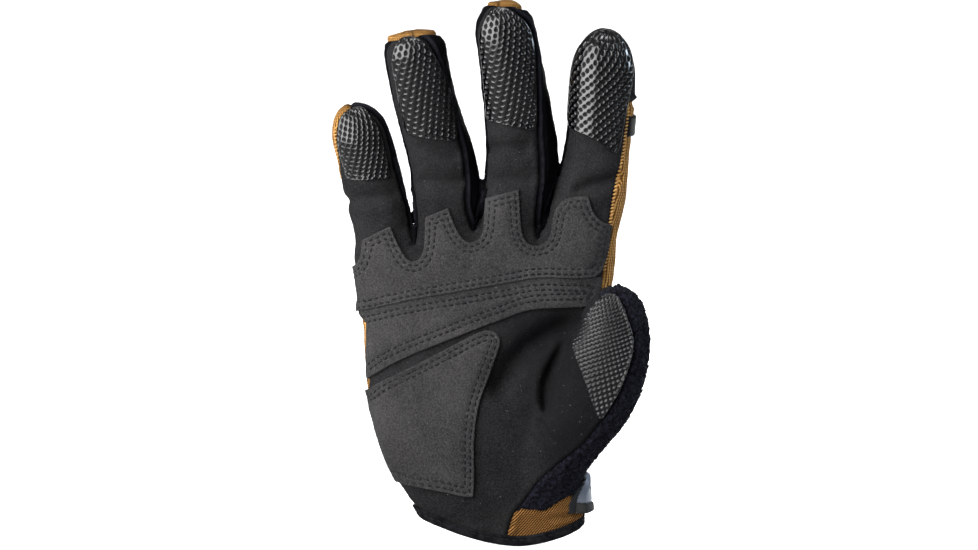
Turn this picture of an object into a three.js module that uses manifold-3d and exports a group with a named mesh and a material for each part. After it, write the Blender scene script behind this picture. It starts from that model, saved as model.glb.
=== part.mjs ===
// A right-hand tactical glove, held open as a hand fills it, in millimetres.
// X runs from the little finger to the thumb, Y from the palm side to the back, Z up along the fingers.
// The origin is the middle of the wrist opening at the height of the lowest point of the cuff.
// The glove is a hollow skin: lofted digits and a lofted palm, joined outside and hollowed inside by the
// thickness of the cloth, then cut along its seams into the panels it is sewn from.

import * as THREE from "three";
import Module from "manifold-3d";
import { mergeVertices } from "three/addons/utils/BufferGeometryUtils.js";

const wasm = await Module();
wasm.setup();

// Driving dimensions
const SKIN = 1.8; // cloth and its lining
const GAP = 0.3; // kept between neighbouring pieces
const LIFT = 0.5; // between the skin and the pieces laid on it
const OVERLAY = 1.2; // second layer of suede on the palm
const PRINT = 0.8; // moulded grip print on the digit tips
const BINDING_HEIGHT = 4.2; // tape folded over the wrist edge
const BINDING_PROUD = 0.9; // how far that tape stands off the skin, inside and outside
const STRAP = 2; // closure strap
const TAB = 2.6; // rubber tab at its end
const BAND = 1.4; // rubber band over a finger joint
const PANEL_TURN = -17; // degrees that the finger fronts face towards the little finger side
const THUMB_TURN = -38; // degrees that the pad of the thumb faces the palm
const REACH = 90; // longer than any part of the glove is deep

// Sides of a digit's and of the palm's section, on the outer surface and on the hidden inner one
const SIDES = {
  outer: { digit: 12, palm: 20 },
  inner: { digit: 10, palm: 16 },
};

// Each digit is a row of sections along its middle line, from inside the palm to the last full section.
// The tip is the far end of the dome that closes it.
const DIGITS = {
  little: {
    tip: { x: -59, y: -13, z: 181.2 },
    sections: [
      { x: -43, y: 0, z: 104, halfWidth: 10.5, halfDepth: 9.5 },
      { x: -46.7, y: -0.5, z: 131, halfWidth: 12.4, halfDepth: 11.8 },
      { x: -50.6, y: -3.2, z: 149, halfWidth: 12.9, halfDepth: 11.5 },
      { x: -54.4, y: -7, z: 165, halfWidth: 12.6, halfDepth: 11 },
      { x: -56.8, y: -10, z: 173, halfWidth: 11.2, halfDepth: 10.2 },
    ],
  },
  ring: {
    tip: { x: -34.8, y: -23.4, z: 211.2 },
    sections: [
      { x: -17.2, y: 0, z: 104, halfWidth: 11, halfDepth: 9.5 },
      { x: -20.9, y: -0.5, z: 131, halfWidth: 12.4, halfDepth: 12.4 },
      { x: -20.9, y: -1.5, z: 142, halfWidth: 13.6, halfDepth: 12.3 },
      { x: -22.4, y: -4.6, z: 158, halfWidth: 14.2, halfDepth: 12.1 },
      { x: -26.4, y: -8.4, z: 172, halfWidth: 13.6, halfDepth: 11.8 },
      { x: -29.8, y: -13, z: 185, halfWidth: 13.4, halfDepth: 11.5 },
      { x: -32.4, y: -18, z: 198, halfWidth: 13, halfDepth: 11 },
      { x: -34, y: -21.6, z: 206, halfWidth: 11.2, halfDepth: 9.8 },
    ],
  },
  middle: {
    tip: { x: 1.8, y: -24, z: 222.2 },
    sections: [
      { x: 6, y: 0, z: 104, halfWidth: 11, halfDepth: 9.5 },
      { x: 4.9, y: -0.5, z: 131, halfWidth: 12.5, halfDepth: 12.6 },
      { x: 7.6, y: -1.5, z: 142, halfWidth: 13.8, halfDepth: 12.6 },
      { x: 10.2, y: -4.4, z: 158, halfWidth: 14.9, halfDepth: 12.5 },
      { x: 9.7, y: -8, z: 173, halfWidth: 14.6, halfDepth: 12.2 },
      { x: 7.3, y: -13, z: 190, halfWidth: 13.8, halfDepth: 11.8 },
      { x: 4.3, y: -19.5, z: 208.5, halfWidth: 12.3, halfDepth: 10.6 },
      { x: 2.8, y: -22.5, z: 217, halfWidth: 9.6, halfDepth: 8.6 },
    ],
  },
  index: {
    tip: { x: 43.6, y: -14, z: 212.2 },
    sections: [
      { x: 30.8, y: 0, z: 104, halfWidth: 13, halfDepth: 9.5 },
      { x: 34.4, y: -0.5, z: 131, halfWidth: 15.9, halfDepth: 12.8 },
      { x: 37.9, y: -1, z: 142, halfWidth: 15.4, halfDepth: 12.7 },
      { x: 40.7, y: -2.5, z: 157, halfWidth: 14.1, halfDepth: 12.3 },
      { x: 42.6, y: -4.8, z: 173, halfWidth: 13.4, halfDepth: 11.9 },
      { x: 43.8, y: -7.5, z: 187, halfWidth: 12.9, halfDepth: 11.5 },
      { x: 44.2, y: -10.5, z: 198, halfWidth: 12.1, halfDepth: 10.8 },
    ],
  },
  thumb: {
    tip: { x: 50.6, y: -29, z: 106.8 },
    sections: [
      { x: 15, y: -3, z: 20, halfWidth: 12, halfDepth: 11 },
      { x: 22.6, y: -8.5, z: 33, halfWidth: 15, halfDepth: 13.6 },
      { x: 31.6, y: -15.3, z: 46.5, halfWidth: 16.6, halfDepth: 14.7 },
      { x: 39.9, y: -21.6, z: 61, halfWidth: 17.8, halfDepth: 14.6 },
      { x: 45.4, y: -25.7, z: 76, halfWidth: 17.4, halfDepth: 13.8 },
      { x: 48.2, y: -27.6, z: 88.5, halfWidth: 14.4, halfDepth: 12.4 },
      { x: 50, y: -28.6, z: 97.5, halfWidth: 10.8, halfDepth: 10 },
    ],
  },
};

// The palm from below the wrist edge up to the webs between the fingers
const PALM = [
  { x: 3.2, y: 3, z: -8, halfWidth: 30.5, halfDepth: 14 },
  { x: 2.1, y: 1.8, z: 10, halfWidth: 33.4, halfDepth: 16 },
  { x: -1, y: -0.6, z: 27, halfWidth: 37.8, halfDepth: 17.4 },
  { x: -5.2, y: -1.8, z: 46, halfWidth: 42.4, halfDepth: 17.8 },
  { x: -6.6, y: -1.4, z: 69, halfWidth: 46.6, halfDepth: 16.8 },
  { x: -6.2, y: -0.7, z: 88, halfWidth: 48, halfDepth: 16 },
  { x: -5.7, y: -0.2, z: 104.6, halfWidth: 51.3, halfDepth: 15.2 },
  { x: -4.9, y: 0, z: 118, halfWidth: 53.1, halfDepth: 13.8 },
  { x: -5, y: 0, z: 126, halfWidth: 50, halfDepth: 10 },
];
const PALM_TOP = { x: -5, y: 0, z: 129 };
const PALM_SQUARENESS = 2.5; // exponent of the section's superellipse; 2 is an ellipse
const DIGIT_SQUARENESS = 2.25;

// The wrist edge: an arc that hangs lowest under the palm and is higher and flatter over the back
const RIM = {
  front: { middle: 9, low: -0.8, rise: 0.009 },
  back: { middle: 4, low: 8, rise: 0.003 },
  half: 15, // how far in front and behind the middle those two arcs lie
};

// Solids from three.js geometry

// A closed three.js geometry as a manifold-3d solid
function solid(geometry) {
  const bare = geometry.index ? geometry.toNonIndexed() : geometry.clone();
  bare.deleteAttribute("normal");
  bare.deleteAttribute("uv");
  const merged = mergeVertices(bare, 1e-4);
  const made = new wasm.Manifold(
    new wasm.Mesh({
      numProp: 3,
      vertProperties: merged.attributes.position.array,
      triVerts: new Uint32Array(merged.index.array),
    }),
  );
  return made;
}

// A solid as a three.js geometry with flat shading
function geometryOf(made) {
  const mesh = made.getMesh();
  const positions = new Float32Array(mesh.numVert * 3);
  for (let i = 0; i < mesh.numVert; i += 1) {
    positions.set(mesh.vertProperties.subarray(i * mesh.numProp, i * mesh.numProp + 3), i * 3);
  }
  const geometry = new THREE.BufferGeometry();
  geometry.setAttribute("position", new THREE.BufferAttribute(positions, 3));
  geometry.setIndex(new THREE.BufferAttribute(mesh.triVerts, 1));
  const flat = geometry.toNonIndexed();
  flat.computeVertexNormals();
  return flat;
}

const union = (parts) => parts.reduce((whole, part) => whole.add(part));

// The largest of the bodies that a cut leaves
function largest(made) {
  const bodies = made.decompose();
  return bodies.reduce((best, body) => (body.volume() > best.volume() ? body : best));
}

const centreOf = (points) => points.reduce((sum, p) => sum.add(p), new THREE.Vector3()).divideScalar(points.length);

// Rings of points, closed by a point at each end, which is the ring's own centre unless another is given
function skinOf(rings, bottom = centreOf(rings[0]), top = centreOf(rings[rings.length - 1])) {
  const sides = rings[0].length;
  const points = [...rings.flat(), bottom, top];
  const bottomIndex = points.length - 2;
  const topIndex = points.length - 1;
  const at = (ring, side) => ring * sides + (side % sides);
  const index = [];
  for (let side = 0; side < sides; side += 1) {
    index.push(bottomIndex, at(0, side), at(0, side + 1));
    index.push(topIndex, at(rings.length - 1, side + 1), at(rings.length - 1, side));
  }
  for (let ring = 0; ring < rings.length - 1; ring += 1) {
    for (let side = 0; side < sides; side += 1) {
      index.push(at(ring, side), at(ring + 1, side), at(ring + 1, side + 1));
      index.push(at(ring, side), at(ring + 1, side + 1), at(ring, side + 1));
    }
  }
  const geometry = new THREE.BufferGeometry();
  geometry.setAttribute("position", new THREE.Float32BufferAttribute(points.flatMap((p) => p.toArray()), 3));
  geometry.setIndex(index);
  return solid(geometry);
}

const pointOf = (row) => new THREE.Vector3(row.x, row.y, row.z);

// The direction of the middle line at each section, the side direction and the palm-facing direction,
// turned about the middle line by an angle in degrees
function frames(points, turn) {
  const radians = THREE.MathUtils.degToRad(turn);
  return points.map((point, i) => {
    const before = points[Math.max(i - 1, 0)];
    const after = points[Math.min(i + 1, points.length - 1)];
    const along = after.clone().sub(before).normalize();
    const front = new THREE.Vector3(Math.sin(radians), -Math.cos(radians), 0);
    front.addScaledVector(along, -front.dot(along)).normalize();
    const side = along.clone().cross(front);
    return { along, front, side };
  });
}

// A superellipse section: offsets to the side and to the front at one angle
function sectionOffsets(angle, halfWidth, halfDepth, squareness) {
  const power = 2 / squareness;
  const c = Math.cos(angle);
  const s = Math.sin(angle);
  return [
    Math.sign(c) * Math.abs(c) ** power * halfWidth,
    Math.sign(s) * Math.abs(s) ** power * halfDepth,
  ];
}

// A loft through the rows, grown by an offset, with a dome at its far end made of shrinking sections
function loft(rows, tip, { grow = 0, sides, squareness, dome }) {
  const points = rows.map(pointOf);
  const last = rows[rows.length - 1];
  const end = pointOf(tip);
  const outward = end.clone().sub(points[points.length - 1]);
  end.addScaledVector(outward.clone().normalize(), grow);
  const reach = end.clone().sub(points[points.length - 1]);
  const all = rows.map((row) => ({ ...row }));
  for (const share of dome) {
    const shrink = Math.sqrt(1 - share * share);
    const middle = points[points.length - 1].clone().addScaledVector(reach, share);
    all.push({
      x: middle.x,
      y: middle.y,
      z: middle.z,
      halfWidth: (last.halfWidth + grow) * shrink - grow,
      halfDepth: (last.halfDepth + grow) * shrink - grow,
    });
  }
  const middles = all.map(pointOf);
  const axes = frames([...middles, end], 0);
  const rings = all.map((row, i) => {
    const ring = [];
    for (let side = 0; side < sides; side += 1) {
      const angle = ((side + 0.5) / sides) * 2 * Math.PI;
      const [across, forward] = sectionOffsets(angle, row.halfWidth + grow, row.halfDepth + grow, squareness);
      ring.push(
        middles[i].clone().addScaledVector(axes[i].side, across).addScaledVector(axes[i].front, forward),
      );
    }
    return ring;
  });
  const start = middles[0].clone().addScaledVector(axes[0].along, -0.5);
  return skinOf(rings, start, end);
}

const DIGIT_DOME = [0.45, 0.82];
const PALM_DOME = [0.7];

// The whole glove form, grown by an offset: the inside of the skin is the same form grown by minus its thickness
const forms = new Map();
function form(grow) {
  if (!forms.has(grow)) {
    const sides = grow < 0 ? SIDES.inner : SIDES.outer;
    const digits = Object.values(DIGITS).map((digit) =>
      loft(digit.sections, digit.tip, {
        grow,
        sides: sides.digit,
        squareness: DIGIT_SQUARENESS,
        dome: DIGIT_DOME,
      }),
    );
    const palm = loft(PALM, PALM_TOP, {
      grow,
      sides: sides.palm,
      squareness: PALM_SQUARENESS,
      dome: PALM_DOME,
    });
    forms.set(grow, union([palm, ...digits]));
  }
  return forms.get(grow);
}

// The layer between two offsets of the glove form
const layer = (inner, outer) => form(outer).subtract(form(inner));

// Regions that cut the skin into panels

// A block over an outline in the X and Z plane, between two depths in Y
function block(outline, near, far) {
  const shape = new THREE.Shape(outline.map(([x, z]) => new THREE.Vector2(x, z)));
  const geometry = new THREE.ExtrudeGeometry(shape, { depth: far - near, bevelEnabled: false });
  geometry.rotateX(Math.PI / 2);
  geometry.translate(0, far, 0);
  return solid(geometry);
}

// An outline moved outwards by a distance, each corner along the bisector of its two edges
function grownOutline(outline, distance) {
  const corners = outline.map(([x, z]) => new THREE.Vector2(x, z));
  const turning = THREE.ShapeUtils.area(corners) > 0 ? 1 : -1;
  const normalOf = (a, b) => {
    const d = b.clone().sub(a).normalize();
    return new THREE.Vector2(d.y, -d.x).multiplyScalar(turning);
  };
  return corners.map((corner, i) => {
    const before = normalOf(corners[(i + corners.length - 1) % corners.length], corner);
    const after = normalOf(corner, corners[(i + 1) % corners.length]);
    const bisector = before.clone().add(after).normalize();
    const stretch = distance / Math.max(bisector.dot(before), 0.4);
    return [corner.x + bisector.x * stretch, corner.y + bisector.y * stretch];
  });
}

// A slab that follows a digit: a rectangle in its turned section planes, carried along its middle line
function slab(digit, turn, bounds, { from = 0, to = 0, grow = 0 } = {}) {
  const rows = digit.sections.slice(from);
  const tip = pointOf(digit.tip);
  const middles = rows.map(pointOf);
  const outward = tip.clone().sub(middles[middles.length - 1]).normalize();
  middles.push(tip.clone());
  const axes = frames(middles, turn);
  middles[middles.length - 1].addScaledVector(outward, to + grow);
  const rings = middles.map((middle, i) => {
    const row = rows[Math.min(i, rows.length - 1)];
    const [left, right, back, front] = bounds(row);
    const corners = [
      [right + grow, back - grow],
      [right + grow, front + grow],
      [left - grow, front + grow],
      [left - grow, back - grow],
    ];
    return corners.map(([across, forward]) =>
      middle.clone().addScaledVector(axes[i].side, across).addScaledVector(axes[i].front, forward),
    );
  });
  for (const corner of rings[0]) corner.addScaledVector(axes[0].along, -grow);
  return skinOf(rings);
}

// The height of the wrist edge at X, on the palm side or over the back
const rimHeight = (side, x) => side.low + side.rise * (x - side.middle) ** 2;

// Everything below the wrist edge raised by a height: a block whose top is ruled between the two arcs
function belowRim(raise) {
  const stations = [];
  for (let x = -60; x <= 75; x += 13.5) stations.push(x);
  const { half } = RIM;
  const rings = [-REACH, -half, 0, half, REACH].map((y) => {
    const share = THREE.MathUtils.clamp((y + half) / (2 * half), 0, 1);
    const heightAt = (x) => THREE.MathUtils.lerp(rimHeight(RIM.front, x), rimHeight(RIM.back, x), share);
    const arc = stations.map((x) => new THREE.Vector3(x, y, heightAt(x) + raise));
    return [new THREE.Vector3(-60, y, -REACH), new THREE.Vector3(75, y, -REACH), ...arc.reverse()];
  });
  return skinOf(rings);
}

// The seam surface between the palm side and the back, as the depth of the seam at three places across
const BACK_SEAM = [
  { z: -30, little: 4, middle: 3, index: 6 },
  { z: 60, little: 3, middle: 2, index: 3 },
  { z: 88, little: 3, middle: 1, index: -3 },
  { z: 108, little: 3, middle: 0, index: -8 },
  { z: 131, little: 3, middle: -0.5, index: -9.4 },
  { z: 142, little: 1, middle: -2.5, index: -10.2 },
  { z: 154, little: -8.4, middle: -4, index: -10.6 },
  { z: 164, little: -11.8, middle: -6.4, index: -11.8 },
  { z: 176, little: -15.6, middle: -10, index: -13.2 },
  { z: 188, little: -19, middle: -13, index: -15 },
  { z: 200, little: -20, middle: -17, index: -17 },
  { z: 228, little: -24, middle: -23, index: -22 },
];
const LITTLE_EDGE = -55;
const LITTLE_INNER = -45;
const INDEX_INNER = 40;
const INDEX_EDGE = 49;
const SEAM_STRETCH = 1.3; // the sheet slopes, so it is moved further in Y than the gap asks

// Everything behind the seam surface: a block whose front face is a sheet through the table's rows
function behindSeam(grow) {
  const rings = BACK_SEAM.map((row) => {
    const line = [
      [-REACH, row.little],
      [LITTLE_EDGE, row.little],
      [LITTLE_INNER, row.middle],
      [INDEX_INNER, row.middle],
      [INDEX_EDGE, row.index],
      [REACH, row.index],
    ].map(([x, y]) => new THREE.Vector3(x, y - grow * SEAM_STRETCH, row.z));
    return [new THREE.Vector3(-REACH, REACH, row.z), new THREE.Vector3(REACH, REACH, row.z), ...line.reverse()];
  });
  return skinOf(rings);
}

// Where the cloth of the back reaches over the tips of three fingers, and where suede covers the index tip
const TIP_CAPS = [
  { digit: "ring", left: -50, right: -18, above: 207.2 },
  { digit: "middle", left: -10, right: 20, above: 218.2 },
  { digit: "little", left: -75, right: -56.5, above: 174 },
];
const INDEX_TIP = { left: 24, right: 70, above: 181 };

function boxRegion({ left, right, above }, grow, near = -REACH, far = REACH) {
  const top = 240;
  const outline = [
    [left - grow, above - grow],
    [right + grow, above - grow],
    [right + grow, top],
    [left - grow, top],
  ];
  return block(outline, near, far);
}

// The region of the back cloth: behind the seams, with the caps over the tips, without the index tip
function backRegion(grow) {
  const caps = TIP_CAPS.map((cap) => boxRegion(cap, grow));
  return union([behindSeam(grow), ...caps]).subtract(boxRegion(INDEX_TIP, -grow));
}

// The side walls between two fingers: the facing halves of two slabs and the web that joins them
const GUSSET_FRONT = 0.6; // share of the finger's half depth where the front seam runs
const GUSSET_BACK = -0.45;
const GUSSET_INNER = 0.25; // share of the half width that a side wall leaves to the tip
const GUSSETS = {
  gusset_little_ring: { left: "little", right: "ring", web: 113, leftStop: -3, rightStop: -3.4 },
  gusset_ring_middle: { left: "ring", right: "middle", web: 117, leftStop: -3.4, rightStop: -3 },
  gusset_middle_index: { left: "middle", right: "index", web: 116, leftStop: -3, rightStop: -2.5 },
};

function gussetRegion({ left, right, web, leftStop, rightStop }, grow) {
  const heights = (row) => [GUSSET_BACK * row.halfDepth, GUSSET_FRONT * row.halfDepth];
  const facing = {
    right: (row) => [GUSSET_INNER * row.halfWidth, row.halfWidth + 1.2, ...heights(row)],
    left: (row) => [-row.halfWidth - 1.2, -GUSSET_INNER * row.halfWidth, ...heights(row)],
  };
  const leftHalf = slab(DIGITS[left], PANEL_TURN, facing.right, { to: leftStop, grow });
  const rightHalf = slab(DIGITS[right], PANEL_TURN, facing.left, { to: rightStop, grow });
  const above = boxRegion({ left: -REACH, right: REACH, above: web }, grow);
  return leftHalf.add(rightHalf).intersect(above);
}

// The towelling on the back of the thumb: the side of the thumb away from the palm, and a strip to the wrist
const TERRY_TURN = THUMB_TURN + 156.5;
const TERRY_STRIP = [
  [9.5, 16.5],
  [21, 26.5],
  [32, 37],
  [42, 49],
  [46.5, 57],
  [70, 57],
  [70, -20],
  [9.5, -20],
];
const TERRY_BACK = 8; // depth of its seam with the back

function terryRegion(grow) {
  const around = slab(DIGITS.thumb, TERRY_TURN, () => [-16.5, 16.5, 1.5, 26], { from: 2, to: 3, grow });
  const strip = block(grownOutline(TERRY_STRIP, grow), -REACH, TERRY_BACK + grow);
  return around.add(strip);
}

// The tan flap that the wrist closes over, on the thumb side under the towelling
const FLAP_OUTLINE = [
  [4.5, -20],
  [4.8, 9],
  [6.6, 13.2],
  [9.5, 15.2],
  [20, 14.6],
  [27, 18.4],
  [31, 20.4],
  [36, 18.2],
  [70, 18.2],
  [70, -20],
];
const flapRegion = (grow) => block(grownOutline(FLAP_OUTLINE, grow), -REACH, TERRY_BACK + grow);

// Panels of the skin
const EDGE_IN_BINDING = 1.6; // how far above the wrist edge the cloth ends inside its binding
const skin = layer(-SKIN, 0).subtract(belowRim(EDGE_IN_BINDING));
const gussetRegions = (grow) => union(Object.values(GUSSETS).map((gusset) => gussetRegion(gusset, grow)));

const panels = {
  thumb_terry: skin.intersect(terryRegion(0)).subtract(flapRegion(GAP)),
  cuff_flap: skin.intersect(flapRegion(0)),
};
for (const [name, gusset] of Object.entries(GUSSETS)) {
  panels[name] = skin.intersect(gussetRegion(gusset, 0)).subtract(terryRegion(GAP));
}
const taken = union([terryRegion(GAP), flapRegion(GAP), gussetRegions(GAP)]);
panels.back_panel = skin.intersect(backRegion(0)).subtract(taken);
panels.palm_panel = skin.subtract(backRegion(GAP)).subtract(taken);

// The binding tape, folded over the wrist edge with the cloth inside it
const tape = layer(-SKIN - BINDING_PROUD, BINDING_PROUD).intersect(
  belowRim(BINDING_HEIGHT).subtract(belowRim(0)),
);
panels.cuff_binding = tape.subtract(layer(-SKIN - LIFT, LIFT).subtract(belowRim(EDGE_IN_BINDING - LIFT)));

// Second layers of suede sewn to the palm, as outlines seen from the palm side
const OVERLAYS = {
  finger_overlay: [
    [-64, 96],
    [-64, 113],
    [-57.5, 114],
    [-54.6, 118.7],
    [-54.2, 125.4],
    [-43.4, 130.4],
    [-41.4, 124.6],
    [-37.6, 117.4],
    [-34.2, 115.7],
    [-30.9, 117.4],
    [-29.2, 122],
    [-28.8, 134.2],
    [-20, 138],
    [-16.7, 128.8],
    [-13.7, 124.6],
    [-10.8, 123.3],
    [-6.6, 125.4],
    [-5, 129.6],
    [-4.1, 142.1],
    [8.9, 145.5],
    [9.7, 129.6],
    [10.9, 124.6],
    [14.3, 122.1],
    [19.3, 122.9],
    [22.2, 126.2],
    [23.5, 134.6],
    [26, 139.6],
    [30.2, 142.1],
    [37.3, 141.7],
    [39.4, 135.4],
    [42.7, 132.1],
    [47, 131.2],
    [44, 110.4],
    [31.9, 109.5],
    [15.9, 110.3],
    [4.2, 107.8],
    [-14.2, 104.5],
    [-39.3, 100.3],
    [-57, 96],
  ],
  band_overlay: [
    [-64, 67],
    [-64, 94.8],
    [-56.6, 94.8],
    [-39.3, 98.9],
    [-14.2, 103.1],
    [4.2, 106.4],
    [15.9, 108.7],
    [31.9, 108],
    [43.5, 108.6],
    [42.6, 98.4],
    [36, 97.5],
    [19.3, 97.1],
    [10.9, 95.9],
    [2.6, 92.5],
    [-5.8, 89.6],
    [-22.6, 82.9],
    [-39.3, 76.2],
    [-52.6, 68.3],
    [-54.5, 67],
  ],
  heel_pad: [
    [-64, 62],
    [-53.5, 63],
    [-47.6, 67.2],
    [-39.3, 71],
    [-26.7, 77.4],
    [-14.2, 84],
    [-7.5, 87.4],
    [-3.3, 88.3],
    [0, 87],
    [1.7, 84.1],
    [0, 78.7],
    [-5.8, 63.6],
    [-8.3, 53.6],
    [-9.5, 41.9],
    [-9.1, 27.6],
    [-9.5, 20.5],
    [-14.2, 20.6],
    [-22.6, 22.7],
    [-35.1, 24.8],
    [-42, 27],
    [-64, 30],
  ],
};
const OVERLAY_BACK = 0; // overlays end at the side of the hand

for (const [name, outline] of Object.entries(OVERLAYS)) {
  panels[name] = layer(LIFT, LIFT + OVERLAY).intersect(block(outline, -REACH, OVERLAY_BACK));
}

// Grip prints moulded on the palm side of each digit tip
const GRIPS = {
  grip_little: { digit: "little", from: 2, edge: 0.66, below: 159.5, slope: 0, stop: -1.6 },
  grip_ring: { digit: "ring", from: 3, edge: 0.66, below: 171.5, slope: 0, stop: -3.6 },
  grip_middle: { digit: "middle", from: 3, edge: 0.66, below: 175, slope: -0.2, stop: -3 },
  grip_index: { digit: "index", from: 3, edge: 0.5, below: 165, slope: -0.42, stop: -1.2 },
};

// The palm side of a digit above a sloping line, out to the seams of its front panel
function gripRegion({ digit, from, edge, below, slope, stop }) {
  const rows = DIGITS[digit];
  const front = slab(rows, PANEL_TURN, (row) => [-REACH / 4, REACH / 4, edge * row.halfDepth, REACH / 3], {
    from,
    to: stop,
  });
  const { x } = rows.sections[rows.sections.length - 1];
  const line = (at) => below + slope * (at - x);
  const outline = [
    [x - 22, line(x - 22)],
    [x + 22, line(x + 22)],
    [x + 22, 240],
    [x - 22, 240],
  ];
  return front.intersect(block(outline, -REACH, REACH));
}

for (const [name, grip] of Object.entries(GRIPS)) {
  panels[name] = layer(LIFT, LIFT + PRINT).intersect(gripRegion(grip));
}

// The leaf-shaped print on the pad of the thumb
const THUMB_GRIP = [
  [47.4, 103.4],
  [39, 97.4],
  [33, 86.5],
  [30.4, 82.8],
  [34.4, 71.2],
  [38.5, 59.2],
  [41.4, 51.6],
  [44.7, 56],
  [50, 65.2],
  [53.7, 75.8],
  [55, 82.8],
  [54.2, 89],
  [51, 98],
];
panels.grip_thumb = layer(LIFT, LIFT + PRINT).intersect(block(THUMB_GRIP, -REACH, DIGITS.thumb.sections[5].y));

// Flexible bands over the joints on the backs of the fingers, each between two shares of the finger's half width
const JOINT_BANDS = {
  joint_band_little: { digit: "little", low: 149, high: 157, left: -0.75, right: 0.75 },
  joint_band_ring: { digit: "ring", low: 171, high: 179, left: -0.75, right: 0.75 },
  joint_band_middle: { digit: "middle", low: 178, high: 186, left: -0.75, right: 0.75 },
  joint_band_index: { digit: "index", low: 168, high: 176.3, left: -0.75, right: 1.3 },
};

function bandRegion({ digit, low, high, left, right }) {
  const behind = (row) => [left * row.halfWidth, right * row.halfWidth, -REACH / 3, -0.1 * row.halfDepth];
  const across = slab(DIGITS[digit], 0, behind, { from: 1 });
  const outline = [
    [-REACH, low],
    [REACH, low],
    [REACH, high],
    [-REACH, high],
  ];
  return across.intersect(block(outline, -REACH, REACH));
}

for (const [name, band] of Object.entries(JOINT_BANDS)) {
  panels[name] = layer(LIFT, LIFT + BAND).intersect(bandRegion(band));
}

// The closure strap across the back of the wrist, and the rubber tab at its thumb end
const STRAP_BAND = { low: 16.4, high: 34.4 };
const STRAP_START = -27; // sewn end on the little finger side
const strapOutline = [
  [STRAP_START, STRAP_BAND.low],
  [40, STRAP_BAND.low],
  [40, STRAP_BAND.high],
  [STRAP_START, STRAP_BAND.high],
];
const TAB_DEPTH = { near: -7.5, far: 9.4 };
panels.wrist_strap = layer(LIFT, LIFT + STRAP).intersect(block(strapOutline, TAB_DEPTH.far + GAP, REACH));
const tabOutline = [
  [30, 15.8],
  [43, 15.8],
  [43, 24],
  [38.5, 30.2],
  [30, 30.2],
];
panels.pull_tab = layer(LIFT * 2, LIFT * 2 + TAB).intersect(block(tabOutline, TAB_DEPTH.near, TAB_DEPTH.far));

// Colours and finishes as they show in daylight
const FINISHES = {
  suede: { color: 0x302f31, roughness: 0.95 },
  overlay: { color: 0x474545, roughness: 0.95 },
  knit: { color: 0xa9763a, roughness: 0.85 },
  stretch: { color: 0x141418, roughness: 0.8 },
  terry: { color: 0x121217, roughness: 1 },
  print: { color: 0x2a2a2e, roughness: 0.35 },
  rubber: { color: 0x3a3d42, roughness: 0.45 },
  tape: { color: 0x17171a, roughness: 0.9 },
};
const FINISH_OF = {
  palm_panel: "suede",
  back_panel: "knit",
  cuff_flap: "knit",
  gusset_little_ring: "stretch",
  gusset_ring_middle: "stretch",
  gusset_middle_index: "stretch",
  thumb_terry: "terry",
  cuff_binding: "tape",
  wrist_strap: "tape",
  pull_tab: "rubber",
  finger_overlay: "overlay",
  band_overlay: "overlay",
  heel_pad: "overlay",
};
const finishOf = (name) => {
  if (FINISH_OF[name]) return FINISHES[FINISH_OF[name]];
  return name.startsWith("grip") ? FINISHES.print : FINISHES.rubber;
};

const SLIVER = 0.05; // edges shorter than this are collapsed after the cuts
const glove = new THREE.Group();
for (const [name, made] of Object.entries(panels)) {
  const body = largest(made.simplify(SLIVER));
  const mesh = new THREE.Mesh(geometryOf(body), new THREE.MeshStandardMaterial(finishOf(name)));
  mesh.name = name;
  glove.add(mesh);
}

export default glove;
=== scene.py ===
# A right-hand tactical glove with the palm to the camera, upright and in the full form it has when worn.
# Lengths in this file are millimetres; X runs to the thumb side, Y from the palm to the back, Z up.
# Sections follow the glove as it is sewn: cloth panels, overlays, prints, bands, cuff, strap and tab.

import bpy
import numpy as np
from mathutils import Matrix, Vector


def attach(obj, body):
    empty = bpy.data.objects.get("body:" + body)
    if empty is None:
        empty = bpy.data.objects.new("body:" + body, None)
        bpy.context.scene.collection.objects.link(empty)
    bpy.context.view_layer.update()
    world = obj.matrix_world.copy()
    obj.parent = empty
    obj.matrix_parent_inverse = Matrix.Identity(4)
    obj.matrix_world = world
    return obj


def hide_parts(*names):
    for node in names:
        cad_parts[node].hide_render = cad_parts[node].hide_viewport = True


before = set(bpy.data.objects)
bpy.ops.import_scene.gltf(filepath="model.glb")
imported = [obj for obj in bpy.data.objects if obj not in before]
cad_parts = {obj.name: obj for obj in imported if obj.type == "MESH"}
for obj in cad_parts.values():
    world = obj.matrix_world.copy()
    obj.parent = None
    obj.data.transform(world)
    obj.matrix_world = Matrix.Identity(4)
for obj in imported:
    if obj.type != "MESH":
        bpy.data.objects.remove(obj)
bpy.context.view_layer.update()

# The studio: a pale floor that sweeps up behind the glove, and soft light. The camera stands level in
# front of the palm with a long lens, so that one millimetre is 978 / 401 pixels at the glove's middle.
VIEW_WIDTH = 401.0
VIEW_CENTRE = (-3.3, -4.0, 110.7)
LENS = 150.0


def grid_faces(rows, columns, round_columns=False, round_rows=False):
    """Two triangles for each cell of a grid of points stored row after row."""
    r = np.arange(rows if round_rows else rows - 1)[:, None]
    c = np.arange(columns if round_columns else columns - 1)[None, :]
    r2, c2 = (r + 1) % rows, (c + 1) % columns
    a, b, d, e = (np.broadcast_to(x, (len(r), c.shape[1])).ravel() for x in
                  (r * columns + c, r * columns + c2, r2 * columns + c2, r2 * columns + c))
    return np.concatenate([np.stack([a, b, d], 1), np.stack([a, d, e], 1)])


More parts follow.
